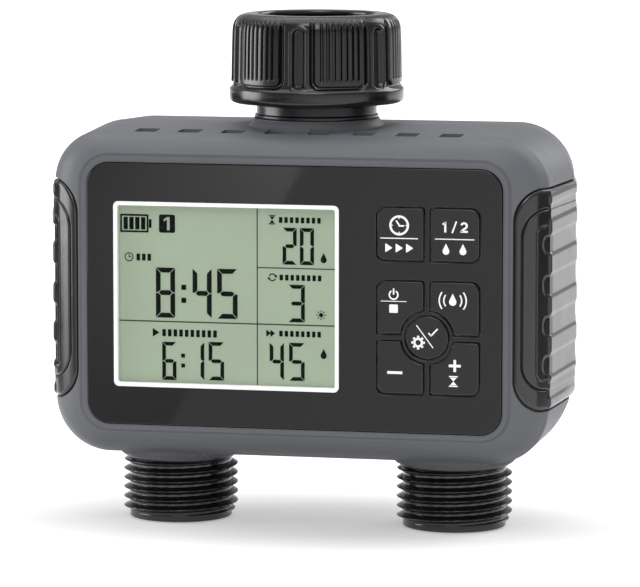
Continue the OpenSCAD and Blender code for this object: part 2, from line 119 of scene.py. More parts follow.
def fillet_poly(pts, radii, seg=4, closed=True):
    """rounds the corners of a 2D polygon"""
    out = []; n = len(pts)
    for i in range(n):
        p = np.array(pts[i], float); r = radii[i] if hasattr(radii, '__len__') else radii
        if r <= 0 or (not closed and i in (0, n - 1)):
            out.append(tuple(p)); continue
        a = np.array(pts[i - 1], float) - p; b = np.array(pts[(i + 1) % n], float) - p
        la, lb = np.linalg.norm(a), np.linalg.norm(b); a /= la; b /= lb
        ang = math.acos(max(-1, min(1, a @ b)))
        d = min(r / math.tan(ang / 2), la * 0.49, lb * 0.49); rr = d * math.tan(ang / 2)
        c = p + (a + b) / np.linalg.norm(a + b) * rr / math.sin(ang / 2)
        s, e = p + a * d, p + b * d
        a0 = math.atan2(*(s - c)[::-1]); a1 = math.atan2(*(e - c)[::-1])
        da = (a1 - a0 + pi) % (2 * pi) - pi
        for k in range(seg + 1):
            t = a0 + da * k / seg
            out.append((c[0] + rr * math.cos(t), c[1] + rr * math.sin(t)))
    return out

def rrect(x0, x1, z0, z1, r, n=8):
    pts = []
    for cx, cz, a0 in ((x1 - r, z1 - r, 0), (x0 + r, z1 - r, 90), (x0 + r, z0 + r, 180), (x1 - r, z0 + r, 270)):
        for i in range(n + 1):
            a = math.radians(a0 + 90 * i / n)
            pts.append((cx + r * math.cos(a), cz + r * math.sin(a)))
    return pts

def circ(cx, cz, r, n=48, rev=False):
    p = [(cx + r * math.cos(2 * pi * i / n), cz + r * math.sin(2 * pi * i / n)) for i in range(n)]
    return p[::-1] if rev else p

def plate(name, loops, y_front, y_back, mat, bevel=0.15, seg=2, body="housing", replaces=(), angle=35.0):
    """A plate lying across Y from outlines in (x, z); the first is outer, the others are holes. Edges are rounded."""
    cu = bpy.data.curves.new(name + "_c", 'CURVE')
    cu.dimensions = '2D'; cu.fill_mode = 'BOTH'; cu.resolution_u = 1
    t = (y_back - y_front)
    cu.extrude = max(t / 2 - bevel, 0.0) * MM; cu.bevel_depth = bevel * MM; cu.bevel_resolution = seg; cu.offset = -bevel * MM
    for lp in loops:
        sp = cu.splines.new('POLY'); sp.points.add(len(lp) - 1)
        for p, q in zip(sp.points, lp): p.co = (q[0] * MM, q[1] * MM, 0, 1)
        sp.use_cyclic_u = True
    ob0 = bpy.data.objects.new(name + "_t", cu)
    bpy.context.scene.collection.objects.link(ob0)
    dg = bpy.context.evaluated_depsgraph_get()
    me = bpy.data.meshes.new_from_object(ob0.evaluated_get(dg))
    bpy.data.objects.remove(ob0); bpy.data.curves.remove(cu)
    # curve plane (x, y) -> (x, z); curve z -> -y
    M = Matrix(((1, 0, 0, 0), (0, 0, -1, (y_front + y_back) / 2 * MM), (0, 1, 0, 0), (0, 0, 0, 1)))
    me.transform(M)
    bm = bmesh.new(); bm.from_mesh(me)
    bmesh.ops.remove_doubles(bm, verts=bm.verts, dist=1e-6)
    bmesh.ops.recalc_face_normals(bm, faces=bm.faces)
    bm.to_mesh(me); bm.free()
    finish_mesh(me, angle)
    me.polygons.foreach_set("use_smooth", [abs(f.normal.y) < 0.9995 for f in me.polygons])   # the flat faces stay flat
    me.update()
    me.name = name
    ob = bpy.data.objects.new(name, me)
    bpy.context.scene.collection.objects.link(ob)
    me.materials.clear()
    if mat is not None: me.materials.append(mat)
    register(ob, body, replaces)
    return ob

def flat(name, polys, y, t, mat, body="housing", slot=None, sign=-1):
    """thin printed marks: convex or concave outlines in (x, z), standing t proud of plane y towards the front"""
    V, F = [], []
    for lp in polys:
        n = len(lp); b = len(V)
        for q in lp: V.append((q[0], y, q[1]))
        for q in lp: V.append((q[0], y + sign * t, q[1]))
        F.append([b + i for i in range(n)][::-1]); F.append([b + n + i for i in range(n)])
        for i in range(n):
            j = (i + 1) % n
            F.append([b + i, b + j, b + n + j, b + n + i])
    return add(name, V, F, mat, body=body, slot=slot, recalc=True, angle=20)

# ------------------------------------------------------------------ materials
def mat(name, color, rough=0.5, bump=0.0, bump_scale=900.0, var=0.06, var_scale=45.0, rough_var=0.06, metallic=0.0, coat=0.0, spec=0.5,
        coat_rough=0.05, alpha=1.0, bump2=0.0, bump2_scale=180.0, ior=1.5, edge=0.0):
    m = bpy.data.materials.new(name); m.use_nodes = True
    nt = m.node_tree; nt.nodes.clear()
    out = nt.nodes.new('ShaderNodeOutputMaterial'); b = nt.nodes.new('ShaderNodeBsdfPrincipled')
    nt.links.new(b.outputs[0], out.inputs[0])
    tc = nt.nodes.new('ShaderNodeTexCoord')
    b.inputs['Metallic'].default_value = metallic
    b.inputs['IOR'].default_value = ior
    b.inputs['Specular IOR Level'].default_value = spec
    b.inputs['Coat Weight'].default_value = coat
    b.inputs['Coat Roughness'].default_value = coat_rough
    b.inputs['Alpha'].default_value = alpha
    def noise(scale, detail=3.0, rough_=0.55):
        n = nt.nodes.new('ShaderNodeTexNoise'); n.inputs['Scale'].default_value = scale
        n.inputs['Detail'].default_value = detail; n.inputs['Roughness'].default_value = rough_
        nt.links.new(tc.outputs['Object'], n.inputs['Vector']); return n
    # colour
    n1 = noise(var_scale, 4.0)
    ramp = nt.nodes.new('ShaderNodeValToRGB')
    c = np.array(color, float)
    ramp.color_ramp.elements[0].position = 0.3; ramp.color_ramp.elements[1].position = 0.7
    ramp.color_ramp.elements[0].color = (*np.clip(c * (1 - var), 0, 1), 1)
    ramp.color_ramp.elements[1].color = (*np.clip(c * (1 + var), 0, 1), 1)
    nt.links.new(n1.outputs['Fac'], ramp.inputs['Fac'])
    nt.links.new(ramp.outputs['Color'], b.inputs['Base Color'])
    # roughness
    n2 = noise(var_scale * 3.1, 5.0)
    mr = nt.nodes.new('ShaderNodeMapRange')
    mr.inputs['From Min'].default_value = 0.3; mr.inputs['From Max'].default_value = 0.7
    mr.inputs['To Min'].default_value = max(rough - rough_var, 0.02); mr.inputs['To Max'].default_value = min(rough + rough_var, 1.0)
    nt.links.new(n2.outputs['Fac'], mr.inputs['Value']); nt.links.new(mr.outputs['Result'], b.inputs['Roughness'])
    if bump > 0:
        n3 = noise(bump_scale, 2.0, 0.5)
        bp = nt.nodes.new('ShaderNodeBump'); bp.inputs['Strength'].default_value = bump; bp.inputs['Distance'].default_value = 0.0001
        nt.links.new(n3.outputs['Fac'], bp.inputs['Height'])
        last = bp
        if bump2 > 0:
            n4 = noise(bump2_scale, 2.0, 0.5)
            b2 = nt.nodes.new('ShaderNodeBump'); b2.inputs['Strength'].default_value = bump2; b2.inputs['Distance'].default_value = 0.0004
            nt.links.new(n4.outputs['Fac'], b2.inputs['Height']); nt.links.new(bp.outputs['Normal'], b2.inputs['Normal']); last = b2
        nt.links.new(last.outputs['Normal'], b.inputs['Normal'])
    return m

M = {}
M['housing'] = mat("housing_plastic", (0.112, 0.1165, 0.1275), 0.46, bump=0.22, bump_scale=2600, var=0.03, rough_var=0.04, spec=0.28)
M['panel'] = mat("panel_gloss", (0.0062, 0.0062, 0.0066), 0.03, var=0.05, rough_var=0.01, bump=0.006, bump_scale=900, spec=0.5)
M['key'] = mat("key_plastic", (0.0085, 0.0085, 0.009), 0.2, var=0.04, rough_var=0.03, bump=0.05, bump_scale=2500)
M['white'] = mat("white_print", (0.90, 0.905, 0.91), 0.5, var=0.01, rough_var=0.03)
M['frame'] = mat("white_frame", (0.95, 0.955, 0.955), 0.38, var=0.01, rough_var=0.03)
M['lcd'] = mat("lcd_reflector", (0.375, 0.455, 0.335), 0.45, var=0.025, var_scale=28, rough_var=0.04, bump=0.03, bump_scale=6000, spec=0.3)
M['ink'] = mat("lcd_segment", (0.003, 0.006, 0.004), 0.6, var=0.08, rough_var=0.03, spec=0.05)
M['line'] = mat("lcd_line", (0.035, 0.05, 0.035), 0.5, var=0.08, rough_var=0.03, spec=0.2)
M['window'] = mat("window_clear", (0.02, 0.022, 0.02), 0.05, var=0.01, rough_var=0.01, alpha=0.035)
M['grip'] = mat("grip_gloss", (0.0105, 0.0105, 0.011), 0.22, spec=0.6, bump=0.06, bump_scale=1800, var=0.08, rough_var=0.04)
M['thread'] = mat("black_gloss", (0.005, 0.005, 0.0055), 0.18, spec=0.65, bump=0.05, bump_scale=700, var=0.1, rough_var=0.04)
M['nut'] = mat("nut_satin", (0.0036, 0.0036, 0.0040), 0.21, spec=0.55, bump=0.08, bump_scale=2200, var=0.06, rough_var=0.04)
M['neck'] = mat("neck_gloss", (0.0045, 0.0045, 0.005), 0.24, spec=0.5, bump=0.05, bump_scale=900, var=0.08, rough_var=0.04)
M['seal'] = mat("seal_rubber", (0.012, 0.012, 0.012), 0.62, bump=0.2, bump_scale=2600, var=0.12)
M['steel'] = mat("steel", (0.56, 0.56, 0.58), 0.32, bump=0.08, bump_scale=1500, var=0.05, metallic=1.0)
M['natural'] = mat("natural_plastic", (0.66, 0.65, 0.60), 0.42, bump=0.06, bump_scale=1200, var=0.03)
M['board'] = mat("solder_mask", (0.015, 0.14, 0.055), 0.3, bump=0.06, bump_scale=1500, var=0.12)
M['component'] = mat("component", (0.02, 0.02, 0.021), 0.45, bump=0.1, bump_scale=2400, var=0.1)
M['copper'] = mat("copper_wire", (0.62, 0.25, 0.10), 0.3, bump=0.25, bump_scale=4000, var=0.1, metallic=0.8)
M['strip'] = mat("contact_strip", (0.62, 0.34, 0.38), 0.55, bump=0.1, bump_scale=3000, var=0.1)
M['cell'] = mat("cell_jacket", (0.10, 0.22, 0.30), 0.25, bump=0.05, bump_scale=900, var=0.1)
M['wire'] = mat("wire_red", (0.34, 0.02, 0.02), 0.35, bump=0.05, bump_scale=1200, var=0.08)

# ------------------------------------------------------------------ housing shape
LV = np.array([(-24.9, 50.1, 23.4, 87.2, 6.8, 6.8), (-23.6, 53.1, 21.0, 89.2, 8.5, 8.6), (-21.5, 55.8, 19.2, 90.9, 10.3, 10.8),
      (-18, 58.0, 17.5, 92.2, 11.9, 12.9), (4.2, 59.9, 15.3, 93.05, 13.5, 20.4), (20, 57.4, 15.9, 92.75, 13.2, 20.0),
      (22.5, 56.2, 17.2, 91.4, 12.0, 18.6), (23.5, 54.4, 19.0, 89.6, 10.5, 16.8)], float)

def section(y):
    """half width, lowest z, highest z, upper and lower corner radius of the outer skin at depth y (mm)"""
    y = float(y); out = []
    for k in range(1, 6):
        if y <= -18:
            out.append(float(pchip(LV[:4, 0], LV[:4, k], y)[0]))
        elif y <= 5:
            out.append(float(np.interp(y, LV[3:5, 0], LV[3:5, k])))
        elif y <= 20:
            out.append(float(np.interp(y, LV[4:6, 0], LV[4:6, k])))
        else:
            out.append(float(pchip(LV[5:, 0], LV[5:, k], y)[0]))
    return out

# columns round the outline: each is (kind, t); shared by all loops
def columns(dense_top=True):
    cols = []
    def line(kind, ts):
        for t in ts: cols.append((kind, t))
    # top, from +x to -x as a share of absolute x in mm (clipped to the straight part)
    xs = set(np.round(np.arange(-46, 46.01, 1.15), 3))
    xs = {x for x in xs if abs(x) > 20}
    xs |= set(np.round(np.arange(-20, 20.01, 0.5), 3))
    for i in range(8):
        c = (i - 3.5) * 10.4
        for e in (-2.55, 2.55):
            for d in (-0.3, -0.12, 0.0, 0.12, 0.3): xs.add(round(c + e + d, 3))
    xs = sorted(xs)
    keep = [xs[0]]
    for x in xs[1:]:
        if x - keep[-1] > 0.1: keep.append(x)
    top = keep[::-1]
    bot = sorted(set(np.round(np.concatenate([np.arange(-46, 46.01, 1.2)]), 3)))
    return top, bot

TOPX, BOTX = columns()
NC = 26   # segments per corner
NS = 60   # segments on each side

def loop(hw, z0, z1, r, rb):
    """points (x, z) of one loop, starting at the top right, going to the left, down, right, up"""
    e = hw - r
    P = []
    def sx(x, e):  # stations beyond +-39.5 are squeezed or stretched so that they end on the straight part
        a = abs(x)
        if a <= 39.5: return x
        return math.copysign(39.5 + (a - 39.5) * (e - 39.5) / 6.5, x)
    for x in TOPX: P.append((sx(x, e), z1))
    for k in range(1, NC):
        a = pi / 2 + (pi / 2) * k / NC
        P.append((-e + r * math.cos(a), z1 - r + r * math.sin(a)))
    for k in range(NS + 1): P.append((-hw, (z1 - r) + (z0 + rb - (z1 - r)) * k / NS))
    eb = hw - rb
    for k in range(1, NC):
        a = pi + (pi / 2) * k / NC
        P.append((-eb + rb * math.cos(a), z0 + rb + rb * math.sin(a)))
    for x in BOTX: P.append((x * eb / 46.0, z0))
    for k in range(1, NC):
        a = 1.5 * pi + (pi / 2) * k / NC
        P.append((eb + rb * math.cos(a), z0 + rb + rb * math.sin(a)))
    for k in range(NS + 1): P.append((hw, (z0 + rb) + (z1 - r - (z0 + rb)) * k / NS))
    for k in range(1, NC):
        a = (pi / 2) * k / NC
        P.append((e + r * math.cos(a), z1 - r + r * math.sin(a)))
    return np.array(P)

OX = 32.85
def dress(P3, inner=False):
    """local shapes on the skin: the inlet's boss, fillets round the outlets"""
    x, y, z = P3[:, 0], P3[:, 1], P3[:, 2]
    out = P3.copy()
    top = z > 80; bottom = z < 30
    # boss round the inlet: a short cone with a small fillet at its foot
    rho = np.hypot(x, y)
    boss = np.where(rho < 14.5, 94.6, 94.6 - (rho - 14.5) * 1.75)
    k = 0.9
    zz = np.where(top, np.where(boss > z - k, np.maximum(z, boss) + k * 0.25 * np.clip(1 - np.abs(z - boss) / k, 0, 1) ** 2, z), z)
    # outlet fillets
    for s in (-1, 1):
        rho = np.hypot(x - s * OX, y)
        R2 = 0.9
        d = np.clip(rho - 13.75, 0, None)
        col = np.where(d < R2, 15.05 + np.sqrt(np.clip(R2 * R2 - (R2 - d) ** 2, 0, R2 * R2)), 1e3)
        col = np.where(rho < 13.75, 15.05, col)
        zz = np.where(bottom, np.where(col < zz + 3 * k, np.minimum(zz, col) - k * 0.25 * np.clip(1 - np.abs(zz - col) / k, 0, 1) ** 2, zz), zz)
    out[:, 2] = zz
    return out

def shell_grid(rows):
    """rows: list of (y, half width, z0, z1, upper radius, lower radius, dress?)"""
    V = []
    for (y, hw, z0, z1, r, rb, dr) in rows:
        L = loop(hw, z0, z1, r, rb)
        P = np.stack([L[:, 0], np.full(len(L), y), L[:, 1]], 1)
        if dr: P = dress(P)
        V.append(P)
    return V

def off(y, d):
    hw, z0, z1, r, rb = section(y)
    return hw + d, z0 - d, z1 + d, max(r + d, 0.6), max(rb + d, 0.6)

rows = []
def R_(y, hw, z0, z1, r, rb=None, dr=False): rows.append((y, hw, z0, z1, r, r if rb is None else rb, dr))
# panel recess, rim, groove
rec = (48.55, 24.9, 85.43, 5.2)
R_(-21.9, 46.6, 26.9, 83.4, 3.4); R_(-23.5, 46.6, 26.9, 83.4, 3.4)
R_(-23.62, rec[0], rec[1], rec[2], rec[3]); R_(-24.6, rec[0], rec[1], rec[2], rec[3])
R_(-24.85, rec[0] + 0.06, rec[1] - 0.06, rec[2] + 0.06, rec[3] + 0.05); R_(-24.93, 48.8, 24.66, 85.67, 5.4)
R_(-24.93, 49.62, 23.85, 86.58, 6.3); R_(-24.87, 49.84, 23.62, 86.86, 6.5)
R_(-24.58, 49.92, 23.54, 86.97, 6.6); R_(-24.54, 50.12, 23.36, 87.13, 6.8)
y0 = -24.75; h = off(y0, 0)
R_(-24.66, h[0] + 0.12, h[1] - 0.12, h[2] + 0.12, h[3] + 0.1, h[4] + 0.1)
for y in np.linspace(-24.6, -18.55, 30): R_(y, *off(y, 0))
# soft crease at y = -18, then pockets and flare
def crease(y):
    a = np.array(off(y, 0)); return a
for y in (-18.35, -18.15): R_(y, *(np.array(off(y, 0)) + np.array([-0.01, 0.01, -0.01, 0, 0])))
R_(-18.0, *(np.array(off(-18, 0)) + np.array([-0.05, 0.05, -0.05, 0, 0])))
for y in (-17.85, -17.7, -17.5, -17.3): R_(y, *off(y, -0.01), dr=True)
for y in np.arange(-17.0, -12.3, 0.5): R_(y, *off(y, 0), dr=True)
for y in (-12.25, -12.1, -12.0, -11.9, -11.75): R_(y, *off(y, 0), dr=True)
for y in np.arange(-11.5, 4.6, 0.5): R_(y, *off(y, 0), dr=True)
R_(4.72, *off(4.72, 0), dr=True); R_(4.86, *off(4.86, -0.05), dr=True); R_(4.93, *off(4.93, -0.17), dr=True)
nfo = len(rows)
# inner wall back to the front
R_(4.93, *off(4.93, -2.2)); R_(-10, *off(-10, -2.2)); R_(-18, *off(-18, -2.2)); R_(-20.0, *off(-21.5, -2.2)); R_(-21.9, 50.0, 23.4, 87.0, 6)
V = shell_grid(rows)
n = len(V[0])
F = grid_faces(n, len(V), True, True)
front = add("front_shell_skin", np.concatenate(V), F, M['housing'], slot='housing', replaces=('front_shell',), angle=24)

# rear shell
rows = []
R_(5.07, *off(5.07, -2.2)); R_(5.07, *off(5.07, -0.17), dr=True); R_(5.14, *off(5.14, -0.05), dr=True); R_(5.28, *off(5.28, 0), dr=True)
for y in np.arange(5.5, 20.1, 0.5): R_(y, *off(y, 0), dr=True)
for y in np.linspace(20.3, 23.42, 14): R_(y, *off(y, 0))
for k, (dy, dd) in enumerate(((23.47, -0.35), (23.5, -0.9))):
    R_(dy, *[a + b for a, b in zip(off(23.42, 0), (dd, -dd, dd, dd, dd))])
rows_outer = len(rows)
V = shell_grid(rows)
n = len(V[0])
P = np.concatenate(V)
F = [tuple(f) for f in grid_faces(n, len(V), True, False)]
F.append(tuple(range((len(V) - 1) * n, len(V) * n)))          # rear face
# inner side
rows = []
R_(5.07, *off(5.07, -2.2)); R_(18, *off(18, -2.2)); R_(21.3, 52.2, 21.2, 87.4, 8.3, 14.6)
V2 = shell_grid(rows)
b = len(P); P = np.concatenate([P] + V2[1:])
idx = [0, b, b + n]
for a, c in ((0, b), (b, b + n)):
    for i in range(n):
        j = (i + 1) % n
        F.append((a + j, a + i, c + i, c + j))
F.append(tuple(range(b + n, b + 2 * n))[::-1])
rear = add("rear_shell_skin", P, F, M['housing'], slot='housing', replaces=('rear_shell',), angle=24, recalc=True)

def cut(ob, cutters):
    """subtracts simple solids from ob and keeps its shading"""
    for c in cutters:
        md = ob.modifiers.new("cut", 'BOOLEAN'); md.operation = 'DIFFERENCE'; md.solver = 'EXACT'; md.object = c
    bpy.context.view_layer.update()
    dg = bpy.context.evaluated_depsgraph_get()
    me = bpy.data.meshes.new_from_object(ob.evaluated_get(dg))
    old = ob.data; ob.modifiers.clear(); ob.data = me; me.name = old.name
    bpy.data.meshes.remove(old)
    finish_mesh(me, 24)
    for c in cutters: bpy.data.objects.remove(c)

def raw(verts, faces):
    me = bpy.data.meshes.new("cutter"); me.from_pydata((np.asarray(verts, float) * MM).tolist(), [], [tuple(int(i) for i in f) for f in faces])
    bm = bmesh.new(); bm.from_mesh(me); bmesh.ops.recalc_face_normals(bm, faces=bm.faces); bm.to_mesh(me); bm.free()
    ob = bpy.data.objects.new("cutter", me); bpy.context.scene.collection.objects.link(ob); ob.hide_render = True
    return ob

def prism(loop2, y0, y1):
    n = len(loop2); V = [(p[0], y0, p[1]) for p in loop2] + [(p[0], y1, p[1]) for p in loop2]
    F = [tuple(range(n)), tuple(range(n, 2 * n))[::-1]] + [(i, (i + 1) % n, n + (i + 1) % n, n + i) for i in range(n)]
    return raw(V, F)

def ylathe(prof, x, z, n=40):
    """solid of revolution about an axis along Y; prof = [(r, y)...] from axis to axis"""
    V = []
    for r, y in prof:
        for i in range(n):
            a = 2 * pi * i / n; V.append((x + r * math.cos(a), y, z + r * math.sin(a)))
    F = [tuple(f) for f in grid_faces(n, len(prof), True, False)]
    F.append(tuple(range(n))); F.append(tuple(range((len(prof) - 1) * n, len(prof) * n)))
    return raw(V, F)

SCREWS = [(-50.4, 34), (50.4, 34), (-50.4, 80.5), (50.4, 80.5), (-50.7, 54.5), (50.7, 54.5)]
cutters = [ylathe([(2.9, 20.6), (2.9, 23.1), (3.25, 23.55), (3.25, 30)], x, z) for x, z in SCREWS]
cutters.append(prism(rrect(-15.2, 15.2, 27, 82, 1.5), 19, 30))
# pockets along the top edge; those beside the inlet stop at its boss
def pocket(c):
    yb = lambda x: min(-13.2, -math.sqrt(max(15.1 ** 2 - x * x, 0)))
    a, b = c - 2.55, c + 2.55
    foot = [(a + 0.25, -18.45), (b - 0.25, -18.45), (b, -18.2), (b, yb(b) - 0.2), (b - 0.2, yb(b - 0.2)), (a + 0.2, yb(a + 0.2)), (a, yb(a) - 0.2), (a, -18.2)]
    V = [(x, y, 90.95) for x, y in foot] + [(x, y, 97) for x, y in foot]; n = len(foot)
    return raw(V, [tuple(range(n)), tuple(range(n, 2 * n))[::-1]] + [(i, (i + 1) % n, n + (i + 1) % n, n + i) for i in range(n)])
cut(front, [pocket((i - 3.5) * 10.2 - 0.65) for i in range(8)])
cutters.append(prism(rrect(-3.4, 3.4, 84, 86.2, 0.3, 3), 19, 30))
cut(rear, cutters)

# grey collars round the outlets
for s, nm in ((-1, "left"), (1, "right")):
    pr = fillet_poly([(13.05, 15.0), (13.75, 15.0), (13.75, 20.0), (13.05, 20.0)], [0.12, 0.25, 0, 0], 4)
    lathe("outlet_collar_" + nm, pr, M['housing'], x=s * OX, n=160, slot='housing')
pr = fillet_poly([(13.95, 94.0), (14.62, 94.0), (14.62, 94.62), (13.95, 94.62)], [0, 0, 0.12, 0.12], 3)
lathe("inlet_collar", pr, M['housing'], n=160, slot='housing')

# ------------------------------------------------------------------ front panel, display, keys
LX0, LX1, LZ0, LZ1 = -42.25, 10.83, 33.7, 76.53
KX0, KX1, KXM, KCH = 19.6, 43.4, 31.27, 1.4
UZ0, UZ1, KZ0, KZ1, KZM = 64.25, 76.5, 33.8, 59.8, 46.8
CKX, CKZ, CKR, RR = 31.3, 46.95, 5.05, 6.1

def quad_outline(sx, sz, g, rc=2.1, ri=0.7):
    """corner key outline: rounded rectangle with the centre key's circle cut away"""
    R = RR - g
    xo = KX0 - g if sx < 0 else KX1 + g
    zo = KZ1 + g if sz > 0 else KZ0 - g
    xi = KXM + sx * (KCH / 2 - g)
    zi = KZM + sz * (KCH / 2 - g)
    # work in a mirrored frame where the outer corner is at +,+
    def m(p): return (sx * (p[0]), sz * (p[1]))
    X0, X1 = sx * xi, sx * xo; Z0, Z1 = sz * zi, sz * zo
    cx, cz = sx * CKX, sz * CKZ
    ax = cx + math.sqrt(R * R - (Z0 - cz) ** 2)      # arc meets z = Z0
    az = cz + math.sqrt(R * R - (X0 - cx) ** 2)      # arc meets x = X0
    a0 = math.atan2(Z0 - cz, ax - cx); a1 = math.atan2(az - cz, X0 - cx)
    arc = [(cx + R * math.cos(a1 + (a0 - a1) * k / 14), cz + R * math.sin(a1 + (a0 - a1) * k / 14)) for k in range(15)]
    poly = [(X1, Z0), (X1, Z1), (X0, Z1)] + arc
    rad = [ri, rc, ri, 0.35] + [0] * 13 + [0.35]
    pts = fillet_poly(poly, rad, 6)
    out = [m(p) for p in pts]
    return out

def key_outline(i, g):
    if i == 0: return fillet_poly([(KX0 - g, UZ0 - g), (KXM - KCH / 2 + g, UZ0 - g), (KXM - KCH / 2 + g, UZ1 + g), (KX0 - g, UZ1 + g)], [2.1, 0.7, 0.7, 2.1], 6)
    if i == 1: return fillet_poly([(KXM + KCH / 2 - g, UZ0 - g), (KX1 + g, UZ0 - g), (KX1 + g, UZ1 + g), (KXM + KCH / 2 - g, UZ1 + g)], [0.7, 2.1, 2.1, 0.7], 6)
    if i == 2: return quad_outline(-1, 1, g)
    if i == 3: return quad_outline(1, 1, g)
    if i == 4: return circ(CKX, CKZ, CKR + g, 64)
    if i == 5: return quad_outline(-1, -1, g)
    if i == 6: return quad_outline(1, -1, g)

holes = [rrect(LX0 - 0.03, LX1 + 0.03, LZ0 - 0.03, LZ1 + 0.03, 1.2)] + [key_outline(i, 0.17) for i in range(7)]
plate("front_panel_plate", [rrect(-48.42, 48.42, 25.03, 85.30, 5.1, 12)] + holes, -25.2, -23.62, M['panel'], bevel=0.16, seg=3, replaces=('front_panel',))
plate("display_frame", [rrect(LX0 + 0.02, LX1 - 0.02, LZ0 + 0.02, LZ1 - 0.02, 1.2), rrect(LX0 + 0.95, LX1 - 0.95, LZ0 + 0.95, LZ1 - 0.95, 0.55)], -25.2, -23.62, M['frame'], bevel=0.12, seg=2, replaces=('lcd_frame',))
KEYS = ['key_clock', 'key_zone', 'key_escape', 'key_manual', 'key_set', 'key_minus', 'key_plus']
KC = [(24.9, 70.4), (37.6, 70.4), (24.6, 55.6), (37.9, 55.6), (CKX, CKZ), (24.6, 38.2), (37.9, 38.2)]
for i, k in enumerate(KEYS):
    kb = plate(k + "_cap", [key_outline(i, -0.16)], -25.2, -22.8, M['key'], bevel=0.28, seg=3, body=k, replaces=(k,))

# marks on the keys
def bar(x0, z0, x1, z1, w):
    d = np.array([x1 - x0, z1 - z0]); d /= np.linalg.norm(d); nrm = np.array([-d[1], d[0]]) * w / 2
    a, b = np.array([x0, z0]), np.array([x1, z1])
    return [tuple(a - nrm), tuple(b - nrm), tuple(b + nrm), tuple(a + nrm)]

def ringpoly(cx, cz, r0, r1, a0=0, a1=360, n=40):
    """ring sector as quads"""
    out = []
    for i in range(n):
        t0 = math.radians(a0 + (a1 - a0) * i / n); t1 = math.radians(a0 + (a1 - a0) * (i + 1) / n)
        out.append([(cx + r0 * math.cos(t0), cz + r0 * math.sin(t0)), (cx + r1 * math.cos(t0), cz + r1 * math.sin(t0)),
                    (cx + r1 * math.cos(t1), cz + r1 * math.sin(t1)), (cx + r0 * math.cos(t1), cz + r0 * math.sin(t1))])
    return out

def digit_poly(ch, x, z, h, w):
    """plain printed numerals from strokes; x, z is the centre"""
    s = h * 0.19; q = []
    L, R_, T, B = x - w / 2 + s / 2, x + w / 2 - s / 2, z + h / 2 - s / 2, z - h / 2 + s / 2
    if ch == '1':
        q.append(bar(x + 0.08 * w, z - h / 2, x + 0.08 * w, z + h / 2, s)); q.append(bar(x - 0.32 * w, z + h * 0.24, x + 0.1 * w, z + h * 0.44, s * 0.9))
    if ch == '2':
        rr = w / 2 - s / 2
        q += ringpoly(x, z + h / 2 - w / 2, rr - s / 2, rr + s / 2, -35, 165, 18)
        q.append(bar(x + rr * 0.78, z + h / 2 - w / 2 - rr * 0.62, L - s * 0.2, B + s * 0.1, s)); q.append(bar(x - w / 2, B, x + w / 2, B, s))
    if ch == '/':
        q.append(bar(x - w * 0.35, z - h * 0.55, x + w * 0.35, z + h * 0.55, s * 0.75))
    return q

Y_KEY = -25.2
def drop(cx, cz, r):
    """water drop outline"""
    p = [(cx + r * math.cos(a), cz + r * math.sin(a)) for a in np.radians(np.linspace(-215, 35, 26))]
    return p + [(cx, cz + r * 2.25)]

mk = {k: [] for k in KEYS}
# clock key: dial with hands, a rule, and a small arrow loop below
mk['key_clock'] += ringpoly(24.8, 72.4, 1.78, 2.28, 0, 360, 48) + [bar(24.8, 72.45, 24.1, 73.5, 0.36), bar(24.62, 72.3, 25.95, 72.3, 0.36)]
for a in (0, 90, 180, 270):
    ca, sa = math.cos(math.radians(a)), math.sin(math.radians(a))
    mk['key_clock'].append(bar(24.8 + 1.45 * ca, 72.4 + 1.45 * sa, 24.8 + 1.85 * ca, 72.4 + 1.85 * sa, 0.24))
mk['key_clock'].append(bar(20.45, 69.45, 29.15, 69.45, 0.22))
for dx in (-2.4, 0.0, 2.4):
    mk['key_clock'].append(fillet_poly([(24.8 + dx - 0.8, 66.2), (24.8 + dx + 0.9, 67.25), (24.8 + dx - 0.8, 68.3)], 0.1, 2))
# zone key: 1 / 2, a rule and two drops
mk['key_zone'] += digit_poly('1', 35.3, 72.25, 2.4, 1.5) + digit_poly('/', 37.5, 72.25, 2.4, 1.4) + digit_poly('2', 39.75, 72.25, 2.4, 1.7)
mk['key_zone'].append(bar(33.05, 69.5, 42.1, 69.5, 0.22))
mk['key_zone'] += [drop(35.6, 66.75, 0.78), drop(39.5, 66.75, 0.78)]
# escape key: power symbol over a rule and a square
mk['key_escape'] += ringpoly(23.55, 56.55, 0.82, 1.16, 120, 420, 30) + [bar(23.55, 56.6, 23.55, 58.0, 0.34)]
mk['key_escape'].append(bar(20.55, 55.08, 26.55, 55.08, 0.16))
mk['key_escape'].append(rrect(22.55, 24.55, 52.45, 54.35, 0.2, 2))
# manual key: a larger drop between two waves
mk['key_manual'] += [drop(37.2, 55.25, 0.85)]
for sx in (-1, 1):
    for k_ in (0, 1):
        mk['key_manual'] += ringpoly(37.2, 55.55, 1.9 + 1.05 * k_, 2.22 + 1.05 * k_, (0 if sx > 0 else 180) - 38, (0 if sx > 0 else 180) + 38, 12)
# set key: gear, rule and tick
def gear(cx, cz, ri, ro, teeth=8, hole=0.62):
    out = []
    for i in range(teeth):
        a = 2 * pi * i / teeth
        w0, w1 = 0.24, 0.17
        out.append([(cx + ri * 0.95 * math.cos(a - w0), cz + ri * 0.95 * math.sin(a - w0)), (cx + ro * math.cos(a - w1), cz + ro * math.sin(a - w1)),
                    (cx + ro * math.cos(a + w1), cz + ro * math.sin(a + w1)), (cx + ri * 0.95 * math.cos(a + w0), cz + ri * 0.95 * math.sin(a + w0))])
    return out + ringpoly(cx, cz, hole, ri, 0, 360, 40)
mk['key_set'] += gear(29.25, 45.8, 1.15, 1.58) + [bar(28.85, 49.75, 32.7, 44.65, 0.22), bar(31.6, 48.05, 32.3, 47.35, 0.34), bar(32.18, 47.36, 33.75, 49.05, 0.34)]
mk['key_minus'] += [bar(22.1, 38.78, 25.6, 38.78, 0.62)]
